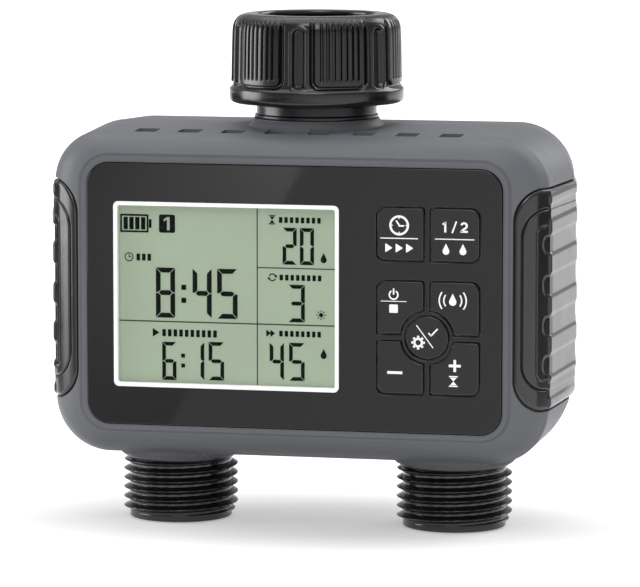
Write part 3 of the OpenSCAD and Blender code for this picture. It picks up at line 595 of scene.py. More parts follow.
mk['key_plus'] += [[(37.42, 39.33), (38.02, 39.33), (38.02, 40.4), (39.1, 40.4), (39.1, 41.0), (38.02, 41.0), (38.02, 42.08), (37.42, 42.08), (37.42, 41.0), (36.34, 41.0), (36.34, 40.4), (37.42, 40.4)]]
# hourglass under the plus
hx, hz = 37.4, 37.15
mk['key_plus'] += [bar(hx - 1.0, hz + 1.1, hx + 1.0, hz + 1.1, 0.28), bar(hx - 1.0, hz - 1.1, hx + 1.0, hz - 1.1, 0.28),
                   [(hx - 0.75, hz + 0.85), (hx + 0.75, hz + 0.85), (hx, hz)], [(hx - 0.75, hz - 0.85), (hx, hz), (hx + 0.75, hz - 0.85)]]
for k in KEYS:
    flat(k + "_marks", mk[k], Y_KEY + 0.003, 0.03, M['white'], body=k, slot='lcd_white')

# display
YL = -23.5
DX, DZ = -0.372, -0.2
def S(x, z): return (x + DX, z + DZ)
SEG = {'0': 'abcdef', '1': 'bc', '2': 'abged', '3': 'abgcd', '4': 'fgbc', '5': 'afgcd', '6': 'afgedc', '7': 'abc', '8': 'abcdefg', '9': 'abcdfg'}
def seg_digit(ch, x0, x1, z0, z1, t, slant=0.0):
    x0, z0 = S(x0, z0); x1, z1 = S(x1, z1)
    g = t * 0.10; zm = (z0 + z1) / 2; out = []
    def q(pts): out.append([(p[0] + slant * (p[1] - z0), p[1]) for p in pts])
    for s in SEG[ch]:
        if s == 'a': q([(x0 + g, z1), (x1 - g, z1), (x1 - t - g, z1 - t), (x0 + t + g, z1 - t)])
        if s == 'd': q([(x0 + g, z0), (x0 + t + g, z0 + t), (x1 - t - g, z0 + t), (x1 - g, z0)])
        if s == 'g': q([(x0 + t * 0.55 + g, zm), (x0 + t + g, zm + t / 2), (x1 - t - g, zm + t / 2), (x1 - t * 0.55 - g, zm), (x1 - t - g, zm - t / 2), (x0 + t + g, zm - t / 2)])
        if s == 'f': q([(x0, z1 - g), (x0 + t, z1 - t - g), (x0 + t, zm + t / 2 + g), (x0 + t / 2, zm + g), (x0, zm + g)])
        if s == 'b': q([(x1, z1 - g), (x1, zm + g), (x1 - t / 2, zm + g), (x1 - t, zm + t / 2 + g), (x1 - t, z1 - t - g)])
        if s == 'e': q([(x0, z0 + g), (x0, zm - g), (x0 + t / 2, zm - g), (x0 + t, zm - t / 2 - g), (x0 + t, z0 + t + g)])
        if s == 'c': q([(x1, z0 + g), (x1 - t, z0 + t + g), (x1 - t, zm - t / 2 - g), (x1 - t / 2, zm - g), (x1, zm - g)])
    return out
ink = []
# large time
ink += seg_digit('8', -32.2, -27.65, 49.9, 61.45, 1.12) + seg_digit('4', -23.5, -19.0, 49.95, 61.5, 1.12) + seg_digit('5', -17.7, -12.9, 50.0, 61.5, 1.12)
for zc in (57.0, 54.0):
    c = S(-25.6, zc); ink.append(rrect(c[0] - 0.58, c[0] + 0.58, c[1] - 0.58, c[1] + 0.58, 0.12, 2))
# right column
ink += seg_digit('2', -2.3, 1.0, 62.85, 71.3, 0.86) + seg_digit('0', 1.75, 5.05, 62.85, 71.3, 0.86)
ink += seg_digit('3', -0.95, 2.9, 49.65, 58.25, 0.9)
# lower row
ink += seg_digit('6', -30.75, -27.4, 35.45, 44.3, 0.86) + seg_digit('1', -24.4, -20.8, 35.6, 44.45, 0.86) + seg_digit('5', -19.75, -16.1, 35.7, 44.55, 0.86)
for zc in (41.2, 38.9):
    c = S(-25.8, zc); ink.append(rrect(c[0] - 0.46, c[0] + 0.46, c[1] - 0.46, c[1] + 0.46, 0.1, 2))
ink += seg_digit('4', -5.35, -2.0, 36.1, 44.85, 0.86) + seg_digit('5', -0.8, 2.85, 36.15, 44.9, 0.86)
# battery gauge
bx0, bz0 = S(-40.6, 69.45); bx1, bz1 = S(-33.9, 73.65)
w = 0.42
ink += [bar(bx0, bz0 + w / 2, bx1, bz0 + w / 2, w), bar(bx0, bz1 - w / 2, bx1, bz1 - w / 2, w), bar(bx0 + w / 2, bz0 + w, bx0 + w / 2, bz1 - w, w), bar(bx1 - w / 2, bz0 + w, bx1 - w / 2, bz1 - w, w)]
ink.append(rrect(bx1 + 0.08, bx1 + 0.72, bz0 + 1.1, bz1 - 1.1, 0.1, 2))
for i in range(4):
    a = bx0 + 0.78 + i * 1.385; ink.append([(a, bz0 + 0.66), (a + 1.02, bz0 + 0.66), (a + 1.02, bz1 - 0.66), (a, bz1 - 0.66)])
# zone badge: filled square built round a numeral
cx, cz = S(-29.5, 71.6)
def badge(cx, cz, h, hole):
    """rounded square minus a narrow numeral 1"""
    x0, x1 = cx - h, cx + h; z0, z1 = cz - h * 1.1, cz + h * 1.1
    a, b_ = cx - 0.02, cx + 0.62
    out = [fillet_poly([(x0, z0), (a, z0), (a, z1), (x0, z1)], [0.45, 0, 0, 0.45], 4), fillet_poly([(b_, z0), (x1, z0), (x1, z1), (b_, z1)], [0, 0.45, 0.45, 0], 4)]
    out += [[(a, z0), (b_, z0), (b_, z0 + 0.55), (a, z0 + 0.55)], [(a, z1 - 0.55), (b_, z1 - 0.55), (b_, z1), (a, z1)]]
    return out
badge_ink = badge(cx, cz, 1.9, None)
ink += badge_ink
flat("display_digits", ink, YL - 0.02, 0.03, M['ink'], slot='component')
# the little flag of the 1 in the badge, and the small icons that stand where words would be
mark = [bar(cx - 0.75, cz + 0.72, cx + 0.05, cz + 1.32, 0.42)]
flat("display_badge_flag", mark, YL - 0.055, 0.02, M['lcd'], slot='lcd')
ic = []
def icon_clock(x, z, r):
    x, z = S(x, z); return ringpoly(x, z, r - 0.22, r, 0, 360, 32) + [bar(x, z, x, z + r * 0.62, 0.2), bar(x - 0.08, z, x + r * 0.5, z, 0.2)]
def icon_glass(x, z, r):
    x, z = S(x, z); return [bar(x - r * .8, z + r, x + r * .8, z + r, 0.22), bar(x - r * .8, z - r, x + r * .8, z - r, 0.22), [(x - r * .62, z + r * .78), (x + r * .62, z + r * .78), (x, z)], [(x - r * .62, z - r * .78), (x, z), (x + r * .62, z - r * .78)]]
def icon_loop(x, z, r):
    x, z = S(x, z)
    return ringpoly(x, z, r - 0.26, r, 20, 160, 14) + ringpoly(x, z, r - 0.26, r, 200, 340, 14) + [[(x + r * 0.5, z + 0.05), (x + r * 1.35, z + 0.05), (x + r * 0.93, z + r * 0.75)], [(x - r * 0.5, z - 0.05), (x - r * 0.93, z - r * 0.75), (x - r * 1.35, z - 0.05)]]
def icon_play(x, z, r):
    x, z = S(x, z); return [[(x - r * .6, z - r), (x + r, z), (x - r * .6, z + r)]]
def icon_skip(x, z, r):
    x, z = S(x, z); return [[(x - r, z - r), (x + r * .3, z), (x - r, z + r)], [(x + r * .15, z - r), (x + r * 1.45, z), (x + r * .15, z + r)]]
def dots(x, z, n, step, w_, h_):
    out = []
    for i in range(n):
        a = S(x + i * step, z); out.append(rrect(a[0] - w_, a[0] + w_, a[1] - h_, a[1] + h_, 0.12, 2))
    return out
ic += icon_clock(-38.55, 63.75, 1.05) + dots(-36.35, 63.75, 3, 1.3, 0.42, 0.8)
ic += icon_glass(-4.75, 73.05, 0.95) + dots(-2.75, 73.05, 8, 1.28, 0.40, 0.66)
ic += icon_loop(-4.7, 59.85, 0.9) + dots(-2.6, 59.85, 8, 1.28, 0.40, 0.66)
ic += icon_play(-32.4, 46.4, 1.0) + dots(-30.3, 46.4, 10, 1.34, 0.42, 0.82)
ic += icon_skip(-5.3, 46.95, 0.85) + dots(-2.7, 46.95, 8, 1.28, 0.40, 0.66)
# units: small drop, sun and bars
dx_, dz_ = S(7.3, 64.1); ic.append(drop(dx_, dz_, 0.72))
sx_, sz_ = S(6.7, 51.45)
ic += ringpoly(sx_, sz_, 0.0, 0.5, 0, 360, 20)
for k_ in range(8):
    a = k_ * pi / 4; ic.append(bar(sx_ + 0.72 * math.cos(a), sz_ + 0.72 * math.sin(a), sx_ + 1.12 * math.cos(a), sz_ + 1.12 * math.sin(a), 0.2))
dx_, dz_ = S(7.3, 42.1); ic.append(drop(dx_, dz_, 0.72))
flat("display_icons", ic, YL - 0.02, 0.03, M['ink'], slot='component')
ln = []
a, b_ = S(-8.25, LZ0 - 1), S(-8.25, LZ1 + 1)
ln.append(bar(a[0], a[1], b_[0], b_[1], 0.26))
a, b_ = S(-8.25, 62.0), S(LX1 + 1, 62.0); ln.append(bar(a[0], a[1], b_[0], b_[1], 0.26))
a, b_ = S(LX0 - 1, 49.0), S(LX1 + 1, 49.0); ln.append(bar(a[0], a[1], b_[0], b_[1], 0.30))
flat("display_rules", ln, YL - 0.012, 0.02, M['line'], slot='component')

# ------------------------------------------------------------------ grips
def skin_x(y, z, sec):
    """x on the side of the housing for arrays of depth and height; sec = section values at those depths"""
    hw, z0, z1, r, rb = sec
    x = np.array(hw, float) + 0 * z
    up = z > z1 - r; lo = z < z0 + rb
    x = np.where(up, hw - r + np.sqrt(np.clip(r * r - (z - (z1 - r)) ** 2, 0, None)), x)
    x = np.where(lo, hw - rb + np.sqrt(np.clip(rb * rb - (z0 + rb - z) ** 2, 0, None)), x)
    return x

def rr_sdf(u, v, u0, u1, v0, v1, r):
    """signed distance to a rounded rectangle, negative inside"""
    cu, cv = (u0 + u1) / 2, (v0 + v1) / 2; hu, hv = (u1 - u0) / 2 - r, (v1 - v0) / 2 - r
    a, b = np.abs(u - cu) - hu, np.abs(v - cv) - hv
    return np.hypot(np.maximum(a, 0), np.maximum(b, 0)) + np.minimum(np.maximum(a, b), 0) - r

# the housing's section at mid height, by arc length from the front edge
GY = np.concatenate([np.linspace(-24.88, -18.2, 70), np.linspace(-18.0, 18, 130)])
GSEC = np.array([section(y) for y in GY])
GS = np.concatenate([[0], np.cumsum(np.hypot(np.diff(GY), np.diff(GSEC[:, 0])))])
U_END = float(np.interp(16.0, GY, GS)); U_C = float(np.interp(-18.0, GY, GS)); U0 = 1.12; GZ0, GZ1, GR = 30.4, 80.7, 7.2

def g_sdf(u, z, g=0.0):
    """outline of the side grip: wide round corners at the front, small ones at the rear"""
    front = rr_sdf(u, z, U0 - g, U_END + 60, GZ0 - g, GZ1 + g, GR + g)
    rear = rr_sdf(u, z, U0 - 60, U_END + g, GZ0 - g, GZ1 + g, 3.0 + g)
    return np.maximum(front, rear)

def g_place(u, z, h, s):
    """point on the side of the housing, h outwards"""
    y = np.interp(u, GS, GY)
    sec = [np.interp(y, GY, GSEC[:, k]) for k in range(5)]
    x = skin_x(y, z, sec)
    e = 0.05
    y2 = np.interp(u + e, GS, GY); y1 = np.interp(u - e, GS, GY)
    x2 = skin_x(y2, z, [np.interp(y2, GY, GSEC[:, k]) for k in range(5)]); x1 = skin_x(y1, z, [np.interp(y1, GY, GSEC[:, k]) for k in range(5)])
    xz2 = skin_x(y, z + e, sec); xz1 = skin_x(y, z - e, sec)
    # smooth normal of the section, tilted by the slope along z
    ty, tx = y2 - y1, x2 - x1
    nx, ny = ty, -tx
    nz = -(xz2 - xz1) / (2 * e) * nx
    ln_ = np.sqrt(nx * nx + ny * ny + nz * nz) + 1e-12
    return np.stack([s * (x + nx / ln_ * h), y + ny / ln_ * h, z + nz / ln_ * h], -1)

BARS = [(31.9, 2.85), (37.55, 1.8), (45.2, 4.7), (54.25, 4.8), (63.7, 5.1), (72.1, 3.9), (78.3, 2.7)]
def g_height(U, Z):
    d0 = g_sdf(U, Z)
    h = np.full(U.shape, 0.24)
    # raised field inside a narrow groove
    d1 = rr_sdf(U, Z, 2.82, U_END + 60, 35.0, 76.2, 6.3)
    h = h + 0.10 * (1 - smooth(-0.25, 0.1, d1))
    h = h - 0.46 * np.exp(-((d1 - 0.02) / 0.21) ** 2) * (1 - smooth(U_C - 1.2, U_C - 0.4, U))
    # second, narrower groove
    d2 = rr_sdf(U, Z, 6.35, U_END + 60, 37.2, 72.4, 2.0)
    front = 1 - smooth(U_C - 1.6, U_C - 0.8, U)
    h = h - 0.26 * np.exp(-((d2 - 0.0) / 0.15) ** 2) * front
    h = h - 0.10 * (1 - smooth(-0.9, -0.1, d2)) * front
    # bars across the side, rising slightly towards the rear
    zz = Z - (U - U_C) * 0.024
    side = np.zeros(U.shape)
    for zc, hz in BARS:
        d3 = rr_sdf(U, zz, U_C - 0.75, U_END - 0.9, zc - hz / 2, zc + hz / 2, 0.55)
        side = np.maximum(side, 1 - smooth(-1.05, 0.3, d3))
    h = h + 0.30 * side
    # rounded scoops where the channels between the bars run out at the front
    for za, zb in ((66.1, 70.2), (56.6, 61.1), (47.4, 51.8), (38.5, 42.8)):
        d4 = rr_sdf(U, Z, U_C - 2.55, U_C + 3.0, za - 0.15, zb + 0.15, 2.0)
        h = h - 0.20 * (1 - smooth(-0.5, 0.05, d4)) * (1 - smooth(U_C - 0.2, U_C + 2.0, U)) - 0.10 * np.exp(-((d4) / 0.14) ** 2) * front
    # rounded outer edge
    t = np.clip(-d0 / 0.85, 0, 1)
    return h + 0.10 - 0.62 * (1 - np.sqrt(np.clip(1 - (1 - t) ** 2, 0, 1)))

def make_grip(s, name, node):
    nu, nz = 260, 360
    u = np.concatenate([np.linspace(U0 - 0.3, U_C + 1.5, 150), np.linspace(U_C + 1.5, U_END + 0.3, 112)[1:]])
    nu = len(u)
    z = np.linspace(GZ0 - 0.2, GZ1 + 0.2, nz)
    UU, ZZ = np.meshgrid(u, z)
    d0 = g_sdf(UU, ZZ)
    e = 0.02
    gu = (g_sdf(UU + e, ZZ) - g_sdf(UU - e, ZZ)) / (2 * e); gz = (g_sdf(UU, ZZ + e) - g_sdf(UU, ZZ - e)) / (2 * e)
    out = d0 > 0
    for _ in range(2):
        dd = np.where(out, g_sdf(UU, ZZ), 0)
        UU = UU - gu * dd; ZZ = ZZ - gz * dd
    h = g_height(UU, ZZ)
    P = g_place(UU, ZZ, h, s).reshape(-1, 3); Q = g_place(UU, ZZ, -0.95 + 0 * h, s).reshape(-1, 3)
    idx = np.arange(nu * nz).reshape(nz, nu)
    inn = ~out
    cell = inn[:-1, :-1] | inn[:-1, 1:] | inn[1:, 1:] | inn[1:, :-1]
    a, b, c, d = idx[:-1, :-1][cell], idx[:-1, 1:][cell], idx[1:, 1:][cell], idx[1:, :-1][cell]
    F = np.stack([a, b, c, d], 1)
    if s < 0: F = F[:, ::-1]
    used = np.unique(F); remap = -np.ones(nu * nz, int); remap[used] = np.arange(len(used))
    P, Q = P[used], Q[used]; F = remap[F]
    n = len(P)
    E = {}
    for f in F:
        for k in range(4): E[(f[k], f[(k + 1) % 4])] = 1
    rim = [e_ for e_ in E if (e_[1], e_[0]) not in E]
    W = [(b_, a_, a_ + n, b_ + n) for a_, b_ in rim]
    faces = [tuple(f) for f in F] + [tuple(f[::-1] + n) for f in F] + W
    ob = add(name, np.concatenate([P, Q]), faces, M['grip'], slot='grip_rubber', replaces=(node,), angle=50)
    bm = bmesh.new(); bm.from_mesh(ob.data)
    bmesh.ops.remove_doubles(bm, verts=bm.verts, dist=2e-6)
    bmesh.ops.recalc_face_normals(bm, faces=bm.faces); bm.to_mesh(ob.data); bm.free()
    finish_mesh(ob.data, 50)
    return ob
make_grip(1, "right_grip_pad", "right_grip"); make_grip(-1, "left_grip_pad", "left_grip")

def outline(g):
    """points of the grip's outline moved out by g, in (u, z)"""
    f = fillet_poly([(U0 - g, GZ0 - g), (U_END + g, GZ0 - g), (U_END + g, GZ1 + g), (U0 - g, GZ1 + g)], [GR + g, 3.0 + g, 3.0 + g, GR + g], 16)
    # even spacing
    f = np.array(f + [f[0]]); L = np.concatenate([[0], np.cumsum(np.hypot(*np.diff(f, axis=0).T))])
    t = np.linspace(0, L[-1], 241)[:-1]
    return np.stack([np.interp(t, L, f[:, 0]), np.interp(t, L, f[:, 1])], 1)

def grip_cutter(s):
    """closed block that cuts the grip's seat out of the skin"""
    g = 0.42
    o = outline(g); n = len(o)
    cu, cz = (U0 + U_END) / 2, (GZ0 + GZ1) / 2
    ks = [1.0, 0.8, 0.6, 0.4, 0.2]
    V = []
    for h in (3.0, -1.0):
        for k in ks:
            U = cu + (o[:, 0] - cu) * k; Z = cz + (o[:, 1] - cz) * k
            V.append(g_place(U, Z, np.full(n, h), s))
        V.append(g_place(np.array([cu]), np.array([cz]), np.array([h]), s))
    P = np.concatenate(V); F = []
    m = len(ks) * n + 1
    for L_ in (0, 1):
        b0 = L_ * m
        for j in range(len(ks) - 1):
            for i in range(n):
                i2 = (i + 1) % n
                F.append((b0 + j * n + i, b0 + j * n + i2, b0 + (j + 1) * n + i2, b0 + (j + 1) * n + i))
        j = len(ks) - 1
        for i in range(n): F.append((b0 + j * n + i, b0 + j * n + (i + 1) % n, b0 + m - 1))
    for i in range(n):
        i2 = (i + 1) % n; F.append((i, i2, m + i2, m + i))
    return raw(P, F)
cut(front, [grip_cutter(1), grip_cutter(-1)])
cut(rear, [grip_cutter(1), grip_cutter(-1)])

# ------------------------------------------------------------------ swivel nut
def make_nut():
    z0, H = 98.2, 20.6
    T = z0 + H
    nth = 1260
    th = np.arange(nth) * 2 * pi / nth
    outer = [(10.4, z0), (18.3, z0), (19.2, z0 + 0.06), (19.8, z0 + 0.32), (20.14, z0 + 0.8), (20.24, z0 + 1.3), (20.24, z0 + 2.9), (20.2, z0 + 3.25), (20.08, z0 + 3.5), (19.9, z0 + 3.62)]
    ns = len(outer)
    crest = lambda z: float(pchip([z0 + 3.6, z0 + 5.4, z0 + 15.2, z0 + 17.2, z0 + 18.5, z0 + 19.3, z0 + 20.0], [19.86, 19.8, 19.6, 19.5, 19.2, 18.75, 18.05], z)[0])
    for z in np.arange(z0 + 3.75, z0 + 19.3, 0.14): outer.append((crest(z), z))
    for z in (z0 + 19.45, z0 + 19.6, z0 + 19.75, z0 + 19.9): outer.append((crest(z), z))
    outer += [(17.7, T - 0.42), (17.2, T - 0.2), (16.7, T - 0.06), (16.2, T), (14.1, T), (13.7, T - 0.08), (13.5, T - 0.35), (13.5, T - 1.0), (13.55, T - 1.3), (13.6, T - 1.6)]
    nbot = len(outer)
    zt = np.arange(T - 1.75, 106.0, -0.12)
    inner = [(13.6, z) for z in zt] + [(13.9, 105.8), (13.9, z0 + 3.0), (10.4, z0 + 3.0)]
    prof = np.array(outer + inner)
    R = np.repeat(prof[:, 0:1], nth, 1); Z = np.repeat(prof[:, 1:2], nth, 1)
    TH = np.repeat(th[None, :], len(prof), 0)
    ph = np.degrees(TH) + 90
    slot_a = (ph + 30) % 60 - 30                    # angle from the nearest slot
    pan_a = (ph + 1.2) % 60 - 30                            # angle from the middle of the nearest panel
    arc_s, arc_p = np.radians(slot_a) * 19.7, np.radians(pan_a) * 19.7
    feat = np.full(R.shape, -0.34)
    # slot, rounded at both ends
    ds = rr_sdf(arc_s, Z, -1.62, 1.62, z0 + 4.1, z0 + 17.9, 1.3)
    feat -= 0.95 * (1 - smooth(-0.72, 0.12, ds))
    feat += 0.14 * np.exp(-((ds - 0.42) / 0.3) ** 2)
    # moat, then the raised frame of the panel
    dp = rr_sdf(arc_p, Z, -6.0, 6.0, z0 + 4.75, z0 + 26, 1.5)
    moat = np.exp(-(np.abs(dp - 0.62) / 0.5) ** 3) * smooth(-0.1, 0.15, dp)
    low = smooth(z0 + 4.2, z0 + 5.6, Z)
    feat -= 0.95 * moat * (0.35 + 0.65 * low)
    feat += 0.34 * (1 - smooth(-0.14, 0.14, dp))
    # flutes inside the panel
    di = rr_sdf(arc_p, Z, -5.1, 5.1, z0 + 6.0, z0 + 26, 0.5)
    inside = 1 - smooth(-0.2, 0.08, di)
    w_ = np.abs((arc_p / 1.46) - np.round(arc_p / 1.46)) * 1.46      # distance from a groove's middle
    fl = 1 - smooth(0.16, 0.44, w_)
    feat -= 0.62 * inside * fl
    fade = 1 - smooth(z0 + 17.6, z0 + 19.6, Z) * 0.8
    rows = np.zeros(len(prof), bool); rows[ns:nbot - 9] = True
    on_ = rows[:, None] & (Z > z0 + 3.7)
    ease = smooth(z0 + 3.6, z0 + 4.3, Z)
    R = R + np.where(on_, feat * fade * ease, 0)
    tm = (np.arange(len(prof)) >= nbot) & (prof[:, 1] > 105.95)
    phase = ((Z - 2.209 * TH / (2 * pi)) / 2.209) % 1.0
    tri = 1 - np.abs(phase - 0.5) * 2
    amp = 1.05 * smooth(T - 1.7, T - 3.9, Z) * smooth(105.9, 107.6, Z)
    R = R - np.where(tm[:, None], amp * smooth(0.25, 0.8, tri), 0)
    X, Y = R * np.cos(TH), R * np.sin(TH)
    P = np.stack([X, Y, Z], 2).reshape(-1, 3)
    F = grid_faces(nth, len(prof), True, True)
    add("inlet_nut_body", P, F, M['nut'], body='nut', slot='nut_plastic', replaces=('inlet_nut',), angle=48, recalc=True)
make_nut()

# ------------------------------------------------------------------ outlets with real threads
def make_outlet(s, nm):
    n = 240; th = np.arange(n) * 2 * pi / n
    top = 14.6
    prof = [(9.6, 0.45), (9.75, 0.12), (10.05, 0.0), (11.6, 0.0), (11.9, 0.1), (12.03, 0.35)]
    a = len(prof)
    for z in np.arange(0.6, top + 0.001, 0.085): prof.append((12.0, z))
    b_ = len(prof)
    prof += [(12.9, 14.7), (12.9, 20.1), (15.2, 20.1), (15.2, 22.1), (10.0, 22.1), (10.0, 36.8), (6.6, 36.8), (6.6, 24.0), (9.6, 20.0)]
    prof = np.array(prof)
    R = np.repeat(prof[:, 0:1], n, 1); Z = np.repeat(prof[:, 1:2], n, 1); TH = np.repeat(th[None], len(prof), 0)
    p = 2.209
    # crest heights seen at the left side: 2.05 + k * pitch at angle 180 degrees
    ph = ((Z - 2.40 - p * (TH - pi) / (2 * pi)) / p)
    f = np.abs(ph - np.round(ph))                     # 0 at a crest, 0.5 in a root
    ridge = 1 - smooth(0.05, 0.40, f) * 1.0
    ridge = np.clip(1 - (f - 0.035) / 0.345, 0, 1)
    ridge = ridge ** 0.92
    # lead-in near the lower end, run-out at the top
    rev = (Z - 2.40 - p * (TH - pi) / (2 * pi)) / p
    k = np.round(rev)
    start = smooth(-0.35, 0.15, (Z - 1.35) / 1.0)
    lead = smooth(1.05, 1.95, Z)
    outr = 1 - smooth(13.3, 14.3, Z)
    rows_m = np.zeros(len(prof), bool); rows_m[a:b_] = True
    root = 11.98
    R = np.where(rows_m[:, None], root + (13.47 - root) * ridge * lead * outr, R)
    R = np.where(rows_m[:, None] & (Z > 13.9), np.maximum(R, 12.0 + 0.9 * smooth(13.9, 14.6, Z)), R)
    P = np.stack([s * OX + R * np.cos(TH), R * np.sin(TH), Z], 2).reshape(-1, 3)
    add("outlet_thread_" + nm, P, grid_faces(n, len(prof), True, True), M['thread'], slot='black_plastic', replaces=("outlet_fitting_" + nm,), angle=50, recalc=True)
make_outlet(-1, "left"); make_outlet(1, "right")

# neck of the manifold under the nut
pr = fillet_poly([(10.3, 86), (13.93, 86), (13.93, 94.72), (14.36, 94.72), (14.36, 95.42), (13.93, 95.65), (13.93, 97.92), (10.3, 97.92)], [0, 0, 0.05, 0.12, 0.2, 0.15, 0.35, 0.1], 4)
lathe("inlet_neck", pr, M['neck'], n=160, slot='black_plastic')

# ------------------------------------------------------------------ rear cover, latch, screws
plate("battery_cover", [rrect(-18.57, 18.57, 23.63, 88.37, 3.5, 10), rrect(-4.0, 4.0, 83.7, 88.0, 0.8, 4)], 23.8, 25.2, M['housing'], bevel=0.4, seg=4, body='cover', replaces=('battery_door',))
plate("cover_skirt", [rrect(-14.8, 14.8, 27.4, 81.6, 1.2, 5), rrect(-13.4, 13.4, 28.8, 80.2, 1.0, 5)], 22.4, 24.0, M['housing'], bevel=0.1, seg=2, body='cover')
plate("cover_latch", [rrect(-3.78, 3.78, 83.92, 87.78, 0.7, 4)], 23.9, 25.15, M['housing'], bevel=0.3, seg=3, body='cover', replaces=('door_latch',))
for k in range(5):
    plate("cover_rib_%d" % k, [rrect(-7.5, 7.5, 77.0 + 1.3 * k - 0.36, 77.0 + 1.3 * k + 0.36, 0.34, 5)], 25.0, 25.55, M['housing'], bevel=0.2, seg=3, body='cover')
def screw(name, x, z):
    prof = [(0.01, 20.7), (2.55, 20.7), (2.6, 20.85), (2.6, 21.7), (2.35, 22.1), (1.6, 22.34), (0.9, 22.4)]
    n = 48; V = []; 
    for r, y in prof:
        for i in range(n):
            t = 2 * pi * i / n
            rr = r; yy = y
            # cross recess
            cxx, czz = r * math.cos(t), r * math.sin(t)
            if y > 22.2 and (abs(cxx) < 0.34 or abs(czz) < 0.34) and r < 1.65: yy = y - 0.75
            V.append((x + cxx, yy, z + czz))
    F = [tuple(f) for f in grid_faces(n, len(prof), True, False)]; F.append(tuple(range(n))[::-1]); F.append(tuple(range((len(prof) - 1) * n, len(prof) * n)))
    return V, F
V, F = [], []
for x, z in SCREWS:
    v, f = screw("s", x, z); b0 = len(V); V += v; F += [tuple(i + b0 for i in q) for q in f]
add("case_screw_heads", V, F, M['steel'], slot='steel', recalc=True, angle=30)

# ------------------------------------------------------------------ springs, and diaphragms which flex with the valves
def make_spring(s, nm):
    turns, per, nw, wire, rad, z0, z1 = 5, 28, 10, 0.3, 2.6, 72.4, 77.1
    V = []
    for i in range(turns * per + 1):
        t = i / (turns * per); a_ = 2 * pi * i / per
        # the two end turns lie nearly flat
        q = 0.06 * smooth(0, 0.2, t) + 0.88 * np.clip((t - 0.1) / 0.8, 0, 1) + 0.06 * smooth(0.8, 1.0, t)
        c = np.array([s * OX + rad * math.cos(a_), rad * math.sin(a_), z0 + (z1 - z0) * q]); e = np.array([math.cos(a_), math.sin(a_), 0.0])
        for k in range(nw):
            b = 2 * pi * k / nw; V.append(c + wire * (math.cos(b) * e + math.sin(b) * np.array([0, 0, 1.0])))
    n = turns * per + 1
    F = [(i * nw + k, i * nw + (k + 1) % nw, (i + 1) * nw + (k + 1) % nw, (i + 1) * nw + k) for i in range(n - 1) for k in range(nw)]
    F += [tuple(range(nw))[::-1], tuple(range((n - 1) * nw, n * nw))]
    o = add("spring_coil_" + nm, V, F, M['steel'], slot='steel', replaces=("plunger_spring_" + nm,), angle=50, recalc=True)
    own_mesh(o)
make_spring(-1, "left"); make_spring(1, "right")

def make_diaphragm(s, nm):
    """the rim is clamped in the housing, the middle follows the valve disc, and the web between them bends"""
    top = [(0.01, 53.9), (3, 53.9), (6.3, 53.9)] + [(6.3 + 6.6 * i / 12, 53.9) for i in range(1, 13)] + [(13.0, 54.0), (13.02, 54.3), (13.2, 54.4), (14.2, 54.4), (14.4, 54.2)]
    bot = [(14.4, 53.1), (14.3, 53.02), (13.0, 53.02)] + [(12.9 - 6.6 * i / 12, 53.02) for i in range(0, 13)] + [(3, 53.02), (0.01, 53.02)]
    prof = np.array(top + bot, float); n = 72; th = np.arange(n) * 2 * pi / n
    V = np.zeros((len(prof), n, 3)); V[:, :, 0] = s * OX + prof[:, 0:1] * np.cos(th); V[:, :, 1] = prof[:, 0:1] * np.sin(th); V[:, :, 2] = prof[:, 1:2]
    V = V.reshape(-1, 3) * MM
    F = [tuple(int(i) for i in f) for f in grid_faces(n, len(prof), True, False)]
    F += [tuple(range(n)), tuple(range((len(prof) - 1) * n, len(prof) * n))]
    me = bpy.data.meshes.new("diaphragm_web_" + nm); me.from_pydata(V.tolist(), [], F)
    bm = bmesh.new(); bm.from_mesh(me); bmesh.ops.recalc_face_normals(bm, faces=bm.faces); bm.to_mesh(me); bm.free()
    finish_mesh(me, 40); me.materials.append(M['seal'])
    ob = bpy.data.objects.new("diaphragm_web_" + nm, me); bpy.context.scene.collection.objects.link(ob)
    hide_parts("diaphragm_" + nm)
    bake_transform(ob, "housing", "disc_" + nm, (s * OX * MM + 0.0125, 0, 0.0535), (s * OX * MM + 0.0064, 0, 0.0535))
    # the same turn-over along every radius
    co = np.array([v.co for v in me.vertices], float); r = np.hypot(co[:, 0] - s * OX * MM, co[:, 1])
    t = np.clip((0.0125 - r) / (0.0125 - 0.0064), 0, 1)
    me.attributes["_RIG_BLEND"].data.foreach_set("value", (t * t * (3 - 2 * t)).astype(np.float32))
make_diaphragm(-1, "left"); make_diaphragm(1, "right")

# ------------------------------------------------------------------ materials on the CAD nodes that stay
def paint(m, *names):
    for nn in names:
        o = N[nn]; o.data.materials.clear(); o.data.materials.append(m)
paint(M['steel'], 'case_screws', 'board_screws', 'filter_screen', 'core_tube_left', 'core_tube_right', 'coil_yokes', 'coil_nuts', 'battery_contacts', 'plunger_left', 'plunger_right')
paint(M['seal'], 'housing_gasket', 'tailpiece_oring', 'inlet_washer', 'outlet_orings', 'door_gasket')
paint(M['natural'], 'lcd_holder', 'key_carrier', 'bonnet_left', 'bonnet_right', 'coil_bobbins', 'valve_disc_left', 'valve_disc_right')
paint(M['component'], 'board_components', 'tact_switches', 'battery_tray')
paint(M['board'], 'circuit_board'); paint(M['strip'], 'contact_strip'); paint(M['copper'], 'coil_windings'); paint(M['cell'], 'batteries')
paint(M['wire'], 'solenoid_leads', 'battery_leads'); paint(M['neck'], 'manifold_body', 'inlet_tailpiece'); paint(M['lcd'], 'lcd_glass'); paint(M['window'], 'display_window')

